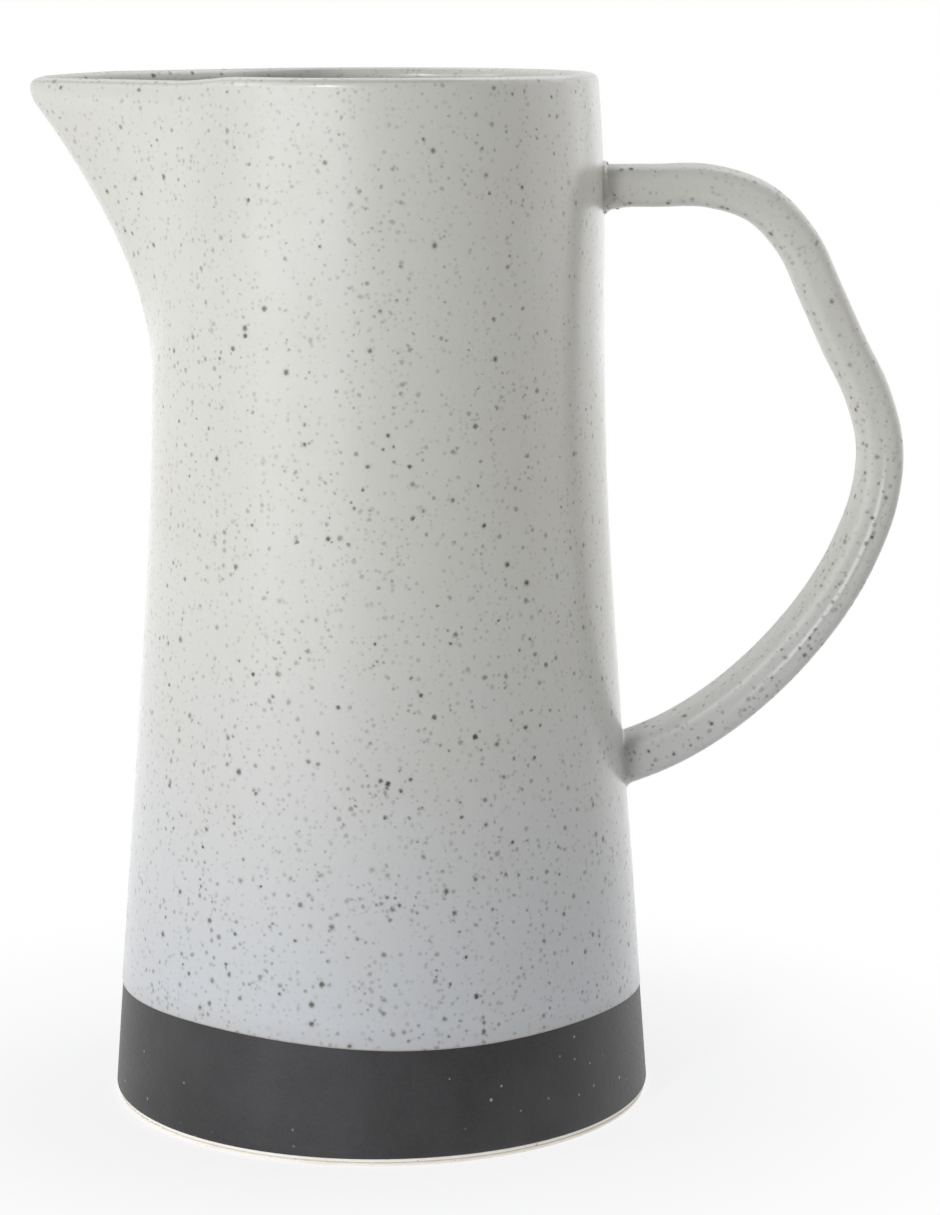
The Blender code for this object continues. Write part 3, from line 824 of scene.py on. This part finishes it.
class JUG_OT_base_band(bpy.types.Operator):
    """Matte charcoal coat round the base, which runs a little way up under the glaze"""

    bl_idname = "jug.base_band"
    bl_label = "Base Band"

    UNDER_GLAZE = 1.6 * MM
    CORNER_END = math.radians(75)
    RINGS = 26
    CORNER_STEPS = 9
    # How far the band's lower edge strays, as an angle round the corner, and how often
    FRAY = 0.10
    FRAY_SCALE = 9.0
    PLAY_SHARE = 0.5

    def execute(self, context):
        sizes = context.scene.jug_sizes
        form = JugForm(sizes)
        columns = []
        for turn, side, angle in round_about(sizes.columns):
            wave = edge_wave(angle)
            spot = Vector((self.FRAY_SCALE * math.cos(angle), self.FRAY_SCALE * math.sin(angle), 0.0))
            columns.append(self.column(form, turn, side, wave, self.FRAY * noise.noise(spot)))
        mesh = turned_mesh("charcoal_band", columns, True)
        make_piece(mesh, matte_charcoal(context.scene.jug_colours), "base_band")
        return {"FINISHED"}

    def column(self, form, turn, side, wave, frayed):
        s = form.sizes
        top = s.band_height + wave + self.UNDER_GLAZE
        end = self.CORNER_END + frayed

        def face(depth):
            line = form.wall_line(depth, top, s.corner_height, self.RINGS)
            return line + form.corner_arc(s.base_corner - depth, end, self.CORNER_STEPS)[1:]
        points = []
        for radius, z in face(s.glaze_proud):
            spot = form.point(radius, z, turn, side)
            points.append(form.point(radius + hand_play(spot, self.PLAY_SHARE * s.hand_play), z, turn, side))
        return points + [form.point(r, z, turn, side) for r, z in face(s.coat)[::-1]]


def strap_knots(form, strap):
    """Points that the strap's centre line goes through, in the frame."""
    reach = form.sizes.handle_reach - strap.thickness / 2
    knots = []
    for out, down in STRAP_LINE:
        z = form.sizes.height - strap.top_drop - down * strap.span
        inside = form.radius(z) - form.sizes.wall
        knots.append(Vector((AXIS_X + inside + out * (reach - inside), 0.0, z)))
    return knots


def strap_path(form, strap, steps=1200):
    """Fine points of the strap's centre line, from the upper root to the lower one."""
    knots = strap_knots(form, strap)
    last = len(knots) - 1
    path = []
    for place in spread(0.0, last, steps):
        i = min(int(place), last - 1)
        before, start, end, after = (knots[min(max(k, 0), last)] for k in (i - 1, i, i + 1, i + 2))
        controls = (start, start + (end - before) / 6, end - (after - start) / 6, end)
        path.append(cubic(controls, place - i))
    return path


def outside_wall(form, point):
    """How far a point lies outside the round wall."""
    return math.hypot(point.x - AXIS_X, point.y) - form.radius(point.z)


class SweepKit(NodeKit):
    """Builds a Geometry Nodes tree with named inputs."""

    def __init__(self, name):
        self.group = bpy.data.node_groups.new(name, "GeometryNodeTree")
        super().__init__(self.group)
        self.group.interface.new_socket("Geometry", in_out="OUTPUT", socket_type="NodeSocketGeometry")
        self.group.interface.new_socket("Geometry", in_out="INPUT", socket_type="NodeSocketGeometry")
        self.inputs = self.group.nodes.new("NodeGroupInput")
        self.names = {}

    def take(self, kind, *names):
        """Add named inputs of one kind to the tree and give their values."""
        values = []
        for name in names:
            label = name.replace("_", " ").title()
            made = self.group.interface.new_socket(label, in_out="INPUT", socket_type="NodeSocket" + kind)
            self.names[name] = made.identifier
            values.append(Value(self, self.inputs.outputs[label]))
        return values

    def geometry(self):
        return Value(self, self.inputs.outputs["Geometry"])

    def end(self, geometry):
        """Close the tree with realised instances and a material, which is one more input."""
        [material] = self.take("Material", "material")
        real = self.node("GeometryNodeRealizeInstances", sockets={0: geometry})
        done = self.node("GeometryNodeSetMaterial", sockets={"Geometry": real, "Material": material})
        self.node("NodeGroupOutput", sockets={0: done})

    def capture(self, geometry, value, kind):
        """Keep a field's value on the points of a curve; gives the geometry and the kept value."""
        node = self.tree.nodes.new("GeometryNodeCaptureAttribute")
        node.domain = "POINT"
        node.capture_items.new(kind, "kept")
        self.tree.links.new(geometry.socket, node.inputs[0])
        self.tree.links.new(value.socket, node.inputs[1])
        return Value(self, node.outputs[0]), Value(self, node.outputs[1])


# Shares of the strap's length over which the ridge comes in and goes out
RIDGE_IN = 0.12
RIDGE_OUT = 0.16


def strap_sweep():
    """Tree that sweeps the strap's rounded section along a path, with a fine ridge on part of both faces and a
    mask for a painted highlight along it.
    """
    kit = SweepKit("strap_sweep")
    thickness, width, growth, squareness = kit.take("Float", "thickness", "width", "growth", "squareness")
    ridge, ridge_width, ridge_place, ridge_start, ridge_end = kit.take(
        "Float", "ridge", "ridge_width", "ridge_place", "ridge_start", "ridge_end")
    rings, sides = kit.take("Int", "rings", "sides")

    path = kit.node("GeometryNodeResampleCurve", {"mode": "COUNT"}, {"Curve": kit.geometry(), "Count": rings})
    along = kit.node("GeometryNodeSplineParameter", out="Factor")
    path, along = kit.capture(path, along, "FLOAT")
    path, middle = kit.capture(path, kit.node("GeometryNodeInputPosition"), "VECTOR")
    path, tangent = kit.capture(path, kit.node("GeometryNodeInputTangent"), "VECTOR")
    ring = kit.node("GeometryNodeCurvePrimitiveCircle", {"mode": "RADIUS"}, {"Resolution": sides})
    ring, turn = kit.capture(ring, kit.node("GeometryNodeSplineParameter", out="Factor"), "FLOAT")
    tube = kit.node("GeometryNodeCurveToMesh",
                    sockets={"Curve": path, "Profile Curve": ring, "Fill Caps": True})

    angle = turn * (2 * math.pi)
    share_across = kit.math("COSINE", angle)
    half_scale = (along * growth + 1.0) * 0.5
    across = share_across * thickness * half_scale
    hollow = 1.0 - kit.math("ABSOLUTE", share_across) ** squareness
    face = kit.math("MAXIMUM", hollow, 0.0) ** (1.0 / squareness) * width * half_scale
    from_crest = (share_across - ridge_place) * thickness * half_scale / ridge_width
    begun = kit.ramp(along, ridge_start, ridge_start + RIDGE_IN)
    going = kit.ramp(along, ridge_end, ridge_end - RIDGE_OUT)
    crest = kit.math("EXPONENT", from_crest * from_crest * -1.0) * (begun * going)
    sideways = kit.math("SIGN", kit.math("SINE", angle)) * (face + crest * ridge)
    normal = kit.vector_math("CROSS_PRODUCT", tangent, (0.0, 1.0, 0.0))
    place = kit.vector_math("ADD", middle, kit.scaled(normal, across))
    place = kit.vector_math("ADD", place, kit.node("ShaderNodeCombineXYZ", sockets={"Y": sideways}))
    shaped = kit.node("GeometryNodeSetPosition", sockets={"Geometry": tube, "Position": place})
    # The ridge's mask is also kept as pale, which the glaze paints as a highlight along the ridge
    shaped = kit.node("GeometryNodeStoreNamedAttribute", {"data_type": "FLOAT", "domain": "POINT"},
                      {"Geometry": shaped, "Name": "pale", "Value": crest})
    kit.end(shaped)
    return kit


# Crumbs of slip: seeds of their places, turns and sizes, largest turn about each axis, and least and largest
# length along each axis, as shares of the crumb size
PLACE_SEED = 7
TURN_SEED = 5
SIZE_SEED = 9
CRUMB_TURN = (6.28, 6.28, 6.28)
CRUMB_LEAST = (0.35, 0.35, 0.25)
CRUMB_LARGEST = (1.0, 0.75, 0.6)


def crumb_scatter():
    """Tree that scatters small crumbs over a surface."""
    kit = SweepKit("crumb_scatter")
    density, size = kit.take("Float", "crumb_density", "crumb_size")
    points = kit.node("GeometryNodeDistributePointsOnFaces", {"distribute_method": "RANDOM"},
                      {"Mesh": kit.geometry(), "Density": density, "Seed": PLACE_SEED})
    crumb = kit.node("GeometryNodeMeshIcoSphere", sockets={"Radius": 0.5, "Subdivisions": 2})
    turns = kit.node("FunctionNodeRandomValue", {"data_type": "FLOAT_VECTOR"},
                     {0: (0.0, 0.0, 0.0), 1: CRUMB_TURN, "Seed": TURN_SEED})
    sizes = kit.node("FunctionNodeRandomValue", {"data_type": "FLOAT_VECTOR"},
                     {0: CRUMB_LEAST, 1: CRUMB_LARGEST, "Seed": SIZE_SEED})
    placed = kit.node("GeometryNodeInstanceOnPoints",
                      sockets={"Points": points, "Instance": crumb, "Rotation": turns,
                               "Scale": kit.scaled(sizes, size)})
    kit.end(placed)
    return kit


def grown(name, source, kit, strap, **changed):
    """Plain mesh of what a Geometry Nodes tree makes of a curve or a mesh; the source is removed.

    The tree's inputs are the strap's sizes of the same names, apart from those that are given as changed.
    """
    obj = bpy.data.objects.new(name + "_source", source)
    bpy.context.scene.collection.objects.link(obj)
    modifier = obj.modifiers.new(name, "NODES")
    modifier.node_group = kit.group
    for key, identifier in kit.names.items():
        modifier[identifier] = changed[key] if key in changed else getattr(strap, key)
    graph = bpy.context.evaluated_depsgraph_get()
    mesh = bpy.data.meshes.new_from_object(obj.evaluated_get(graph))
    mesh.name = name
    obj.modifiers.remove(modifier)
    bpy.data.objects.remove(obj, do_unlink=True)
    weld(mesh)
    return mesh


class JUG_OT_strap(bpy.types.Operator):
    """Strap handle: its clay and the glaze over it, swept along one path from root to root"""

    bl_idname = "jug.strap"
    bl_label = "Strap Handle"

    ROOT_DEPTH = 1.9 * MM
    IRON = 0.85

    def execute(self, context):
        strap = context.scene.jug_strap
        colours = context.scene.jug_colours
        form = JugForm(context.scene.jug_sizes)
        kit = strap_sweep()
        coat = satin_speckled_glaze(colours)
        glaze = self.sweep("glazed_strap", form, strap, kit, 0.0, self.ROOT_DEPTH, coat)
        add_values(glaze, "iron", lambda p: self.IRON)
        add_values(glaze, "dull", lambda p: 1.0)
        make_piece(glaze, coat, "handle_glaze")
        bare = bare_clay(colours)
        clay = self.sweep("clay_strap", form, strap, kit, strap.cover, self.ROOT_DEPTH - HIDDEN, bare)
        make_piece(clay, bare, "handle")
        return {"FINISHED"}

    def sweep(self, name, form, strap, kit, thinner, depth, material):
        """Mesh of the strap, thinner all round by a distance, with roots that end a depth inside the wall."""
        path = [p for p in strap_path(form, strap) if outside_wall(form, p) > -depth]
        curve = bpy.data.curves.new(name + "_path", "CURVE")
        curve.dimensions = "3D"
        spline = curve.splines.new("POLY")
        spline.points.add(len(path) - 1)
        for point, spot in zip(spline.points, path):
            point.co = (*spot, 1.0)
        return grown(name, curve, kit, strap, thickness=strap.thickness - 2 * thinner,
                     width=strap.width - 2 * thinner, material=material)


class JUG_OT_slip_joints(bpy.types.Operator):
    """Fillets of joining slip round both ends of the strap, with crumbs left at the upper one"""

    bl_idname = "jug.slip_joints"
    bl_label = "Slip Joints"

    SIDES = 96
    FILLET_STEPS = 9
    SUNK = 0.4 * MM
    FEATHER = 0.03 * MM
    SHARP = 60.0
    IRON = 0.8
    # Rise along the strap and flare over the wall in millimetres, at the sides and underneath, and the bead
    UPPER = ((0.9, 0.9), (8.5, 2.3), 0.9)
    LOWER = ((0.7, 0.6), (2.6, 1.7), 0.0)
    # How far a side faces down where underneath starts and where it is reached
    UNDERNEATH = (-0.1, 1.0)

    def execute(self, context):
        strap = context.scene.jug_strap
        colours = context.scene.jug_colours
        form = JugForm(context.scene.jug_sizes)
        slip = glazed_slip(colours)
        crumbs = slip_crumb(colours)
        path = strap_path(form, strap)
        upper = self.fillet("upper_slip", form, strap, path, 0.0, *self.UPPER)
        self.add_crumbs(upper, strap, crumbs)
        self.finish(upper, slip, crumbs, "upper_handle_joint")
        lower = self.fillet("lower_slip", form, strap, path[::-1], 1.0, *self.LOWER)
        self.finish(lower, slip, None, "lower_handle_joint")
        return {"FINISHED"}

    def fillet(self, name, form, strap, path, end, plain, under, bead):
        """Ring of slip round one end of the strap; rise and flare are millimetres, larger underneath.

        A bead of 0 gives a hollow fillet, and 1 a full round one; underneath it is always hollow.
        """
        scale = 1.0 + strap.growth * end
        columns = []
        for k in range(self.SIDES):
            angle = 2 * math.pi * k / self.SIDES
            across, sideways = (math.copysign(abs(part) ** (2 / strap.squareness), part)
                                for part in (math.cos(angle), math.sin(angle)))
            offset = (across * strap.thickness * scale / 2, sideways * strap.width * scale / 2)
            columns.append(self.fillet_column(form, path, offset, plain, under, bead))
        mesh = turned_mesh(name, columns, True)
        add_values(mesh, "iron", lambda p: self.IRON)
        return mesh

    def fillet_column(self, form, path, offset, plain, under, bead):
        """Cross-section of the fillet at one side: from the strap in a curve on to the wall, and its back."""
        def surface(i):
            tangent = (path[min(i + 1, len(path) - 1)] - path[max(i - 1, 0)]).normalized()
            up = Vector((-tangent.z, 0.0, tangent.x))
            up = up if up.z > 0 else -up
            out = up * offset[0] + Vector((0.0, offset[1], 0.0))
            return path[i] + out, out.normalized()
        meet = next(i for i in range(len(path)) if outside_wall(form, surface(i)[0]) > 0.0)
        corner, away = surface(meet)
        low = smooth(*self.UNDERNEATH, -away.z)
        rise, flare = ((side + (below - side) * low) * MM for side, below in zip(plain, under))
        run, i = 0.0, meet
        while run < rise:
            run += (path[i + 1] - path[i]).length
            i += 1
        on_strap, strap_out = surface(i)
        on_strap = on_strap - strap_out * self.FEATHER
        on_wall = self.to_wall(form, corner + away * flare, -self.FEATHER)
        bend = corner + (on_strap + on_wall - corner * 2) * bead * (1 - low)
        line = [on_strap * (1 - t) ** 2 + bend * 2 * t * (1 - t) + on_wall * t * t
                for t in spread(0.0, 1.0, self.FILLET_STEPS)]
        back = [self.to_wall(form, point, -self.SUNK) for point in (on_wall, corner - away * self.SUNK)]
        return line + back + [on_strap - strap_out * self.SUNK]

    @staticmethod
    def to_wall(form, point, proud):
        """Nearest point of the round wall, raised by a distance."""
        flat = Vector((point.x - AXIS_X, point.y, 0.0)).normalized() * (form.radius(point.z) + proud)
        return Vector((AXIS_X + flat.x, flat.y, point.z))

    @staticmethod
    def add_crumbs(mesh, strap, material):
        """Scatter crumbs over the fillet; they become faces of its second material."""
        crumbs = grown("crumbs", mesh.copy(), crumb_scatter(), strap, material=material)
        work = bmesh.new()
        work.from_mesh(mesh)
        slip_faces = len(work.faces)
        work.from_mesh(crumbs)
        work.faces.ensure_lookup_table()
        for face in work.faces[slip_faces:]:
            face.material_index = 1
        work.to_mesh(mesh)
        work.free()
        bpy.data.meshes.remove(crumbs)

    def finish(self, mesh, slip, crumbs, node):
        indices = [face.material_index for face in mesh.polygons]
        make_piece(mesh, slip, node, self.SHARP)
        if crumbs:
            mesh.materials.append(crumbs)
            mesh.polygons.foreach_set("material_index", indices)


class JUG_OT_studio(bpy.types.Operator):
    """Pale floor, soft lights and the camera"""

    bl_idname = "jug.studio"
    bl_label = "Studio"

    COOL = (0.92, 0.955, 1.00)
    PLAIN = (1.00, 1.00, 1.00)
    WHITE = (*PLAIN, 1.00)
    # Name and tint of each bank of standing strips, and azimuth in degrees and power of each strip
    BANKS = (("left", COOL, ((-70.0, 0.4), (-58.0, 1.65), (-46.0, 1.9), (-34.0, 2.0), (-22.0, 2.0),
                             (-10.0, 0.8))),
             ("right", PLAIN, ((74.0, 0.2), (86.0, 0.95), (98.0, 1.25), (110.0, 0.95), (122.0, 1.25))),
             ("back", COOL, ((134.0, 0.5), (146.0, 0.6), (158.0, 0.3))))
    STRIP_SIZE = (0.275, 0.97)
    STRIP_DISTANCE = 1.30
    STRIP_MIDDLE = 0.515
    # Name, tint, azimuth in degrees and power of the upper lights
    UPPER = (("upper_left", PLAIN, -90.0, 1.8), ("upper_back_left", PLAIN, -135.0, 1.2),
             ("upper_back", COOL, 180.0, 1.2), ("upper_back_right", COOL, 135.0, 4.0),
             ("upper_right", PLAIN, 90.0, 1.7))
    UPPER_LIFT = math.radians(50.0)
    UPPER_DISTANCE = 1.40
    UPPER_AIM = 0.12
    UPPER_SIZE = (0.80, 0.80)
    # Azimuth in degrees and power of the small lights that draw bright lines on the lip
    LIP_LIGHTS = ((-27.0, 4.2), (-74.0, 1.9))
    LIP_LIFT = math.radians(24.0)
    LIP_SIZE = (0.17, 0.34)
    # Light from all round, brightness of the room's dark side in mirrors, and how far back a direction points
    # where the room starts to get lighter and where it is light
    AMBIENT = 0.05
    ROOM = 0.20
    ROOM_BACK = (0.10, 0.50)
    # Floor, and how much brighter it is in mirrors
    FLOOR_RADIUS = 4.0
    FLOOR_SIDES = 96
    FLOOR_GLOW = 0.3
    # The floor's dark and lit side: slant of the line between them, and ranges across it in millimetres, in
    # mirrors and in the paint
    SIDE_SLANT = 0.9
    MIRROR_SIDE = (-320.0, -20.0)
    PAINT_SIDE = (-260.0, 0.0)
    # Distances from the jug in millimetres: in mirrors, as light on the base, and as shadow to the eye
    MIRROR_AWAY = (80.0, 450.0)
    BASE_AWAY = (90.0, 64.0)
    SHADOW_AWAY = (66.0, 180.0)
    # What is left where the paint, the mirrored floor and the shadow are darkest
    PAINT_LEAST = 0.80
    MIRROR_LEAST = 0.70
    SHADOW_LEAST = 0.80
    # Camera, as fitted to the photo: its place from the jug's axis, its turn, and its lens
    CAMERA_PLACE = (0.00224, -0.80006, 0.26024)
    CAMERA_TURN = (math.radians(90.0 - 10.2586), 0.0, math.radians(-1.3554))
    LENS = 102.36
    SENSOR = 36.0
    NEAREST = 0.01

    def execute(self, context):
        self.make_floor(context)
        self.make_world(context)
        self.make_lights(context)
        self.make_camera(context)
        context.scene.view_settings.view_transform = "Standard"
        return {"FINISHED"}

    def make_floor(self, context):
        work = bmesh.new()
        bmesh.ops.create_circle(work, cap_ends=True, segments=self.FLOOR_SIDES, radius=self.FLOOR_RADIUS)
        mesh = bpy.data.meshes.new("studio_floor")
        work.to_mesh(mesh)
        work.free()
        kit = FinishKit("studio_floor")
        kit.node("ShaderNodeSeparateXYZ", sockets={0: kit.place})
        x, y = (kit.output(name) for name in "XY")
        left_or_back = y - x * self.SIDE_SLANT
        middle = kit.vector_math("SUBTRACT", kit.place, (AXIS_X / MM, 0.0, 0.0))
        away = kit.vector_math("LENGTH", middle, out="Value")
        lit = kit.ramp(left_or_back, *self.MIRROR_SIDE, self.ROOM, 1.0)
        lit = lit * kit.ramp(away, *self.MIRROR_AWAY, self.MIRROR_LEAST, 1.0)
        kit.node("ShaderNodeLightPath")
        camera, glossy, diffuse = (kit.output(f"Is {name} Ray") for name in ("Camera", "Glossy", "Diffuse"))
        seen = camera + glossy * lit + diffuse * kit.ramp(away, *self.BASE_AWAY)
        bright = kit.ramp(away, *self.SHADOW_AWAY, self.SHADOW_LEAST, 1.0)
        pale = context.scene.jug_colours.floor
        dim = [c * self.PAINT_LEAST for c in pale]
        paint = kit.node("ShaderNodeBsdfDiffuse",
                         sockets={"Color": kit.mix(kit.ramp(left_or_back, *self.PAINT_SIDE), dim, pale)})
        strength = 1.0 + glossy * self.FLOOR_GLOW
        glow = kit.node("ShaderNodeEmission", sockets={"Color": self.WHITE, "Strength": strength})
        both = kit.node("ShaderNodeMixShader", sockets={0: seen * bright, 1: paint, 2: glow})
        kit.node("ShaderNodeOutputMaterial", sockets={"Surface": both})
        mesh.materials.append(kit.material)
        floor = bpy.data.objects.new("studio_floor", mesh)
        context.scene.collection.objects.link(floor)

    def make_world(self, context):
        world = bpy.data.worlds.new("studio")
        context.scene.world = world
        world.use_nodes = True
        kit = NodeKit(world.node_tree)
        kit.tree.nodes.clear()
        direction = kit.node("ShaderNodeTexCoord", out="Generated")
        kit.node("ShaderNodeSeparateXYZ", sockets={0: direction})
        behind = kit.ramp(kit.output("Y"), *self.ROOM_BACK, self.ROOM, 1.0)
        kit.node("ShaderNodeLightPath")
        seen = kit.output("Is Camera Ray")
        mirrored = kit.math("MAXIMUM", kit.output("Is Glossy Ray"), kit.output("Is Transmission Ray"))
        strength = kit.math("MAXIMUM", seen, kit.math("MAXIMUM", mirrored * behind, self.AMBIENT))
        light = kit.node("ShaderNodeBackground", sockets={"Color": self.WHITE, "Strength": strength})
        kit.node("ShaderNodeOutputWorld", sockets={"Surface": light})

    def make_lights(self, context):
        for name, tint, strips in self.BANKS:
            for k, (azimuth, power) in enumerate(strips, 1):
                light = self.make_light(context, f"{name}_strip_{k}", self.STRIP_SIZE, power, tint)
                self.put(light, azimuth, 0.0, self.STRIP_DISTANCE, self.STRIP_MIDDLE)
        for name, tint, azimuth, power in self.UPPER:
            light = self.make_light(context, name, self.UPPER_SIZE, power, tint)
            self.put(light, azimuth, self.UPPER_LIFT, self.UPPER_DISTANCE, self.UPPER_AIM)
        for k, (azimuth, power) in enumerate(self.LIP_LIGHTS, 1):
            light = self.make_light(context, f"lip_light_{k}", self.LIP_SIZE, power, self.PLAIN)
            self.put(light, azimuth, self.LIP_LIFT, self.UPPER_DISTANCE, context.scene.jug_sizes.height)

    @staticmethod
    def make_light(context, name, size, power, tint):
        lamp = bpy.data.lights.new(name, "AREA")
        lamp.shape = "RECTANGLE"
        lamp.size, lamp.size_y = size
        lamp.energy = power
        lamp.color = tint
        light = bpy.data.objects.new(name, lamp)
        context.scene.collection.objects.link(light)
        return light

    @staticmethod
    def put(light, azimuth, lift, distance, aim):
        """Stand a light round the jug, turned to a point on its axis."""
        turn = math.radians(azimuth)
        back = Vector((math.sin(turn) * math.cos(lift), -math.cos(turn) * math.cos(lift), math.sin(lift)))
        light.location = Vector((AXIS_X, 0.0, aim)) + back * distance
        light.rotation_euler = back.to_track_quat("Z", "Y").to_euler()

    def make_camera(self, context):
        lens = bpy.data.cameras.new("camera")
        lens.lens = self.LENS
        lens.sensor_width = self.SENSOR
        lens.clip_start = self.NEAREST
        camera = bpy.data.objects.new("camera", lens)
        camera.location = Vector((AXIS_X, 0.0, 0.0)) + Vector(self.CAMERA_PLACE)
        camera.rotation_euler = self.CAMERA_TURN
        context.scene.collection.objects.link(camera)
        context.scene.camera = camera


PIECES = (JUG_OT_clay_body, JUG_OT_base_band, JUG_OT_outer_glaze, JUG_OT_inner_glaze, JUG_OT_strap,
          JUG_OT_slip_joints, JUG_OT_studio)


class JUG_PT_sidebar(bpy.types.Panel):
    """Lists the jug's pieces and their sizes"""

    bl_idname = "JUG_PT_sidebar"
    bl_label = "Glazed Jug"
    bl_space_type = "VIEW_3D"
    bl_region_type = "UI"
    bl_category = "Jug"

    def draw(self, context):
        for operator in PIECES:
            self.layout.operator(operator.bl_idname)
        for group in (context.scene.jug_sizes, context.scene.jug_strap, context.scene.jug_colours):
            box = self.layout.box()
            for name in group.__annotations__:
                box.prop(group, name)


CLASSES = (JugSizes, StrapSizes, JugColours, *PIECES, JUG_PT_sidebar)


def register():
    for cls in CLASSES:
        bpy.utils.register_class(cls)
    bpy.types.Scene.jug_sizes = PointerProperty(type=JugSizes)
    bpy.types.Scene.jug_strap = PointerProperty(type=StrapSizes)
    bpy.types.Scene.jug_colours = PointerProperty(type=JugColours)


def unregister():
    del bpy.types.Scene.jug_colours
    del bpy.types.Scene.jug_strap
    del bpy.types.Scene.jug_sizes
    for cls in reversed(CLASSES):
        bpy.utils.unregister_class(cls)


def main():
    register()
    bpy.ops.jug.clay_body()
    bpy.ops.jug.base_band()
    bpy.ops.jug.outer_glaze()
    bpy.ops.jug.inner_glaze()
    bpy.ops.jug.strap()
    bpy.ops.jug.slip_joints()
    bpy.ops.jug.studio()


if __name__ == "__main__":
    main()
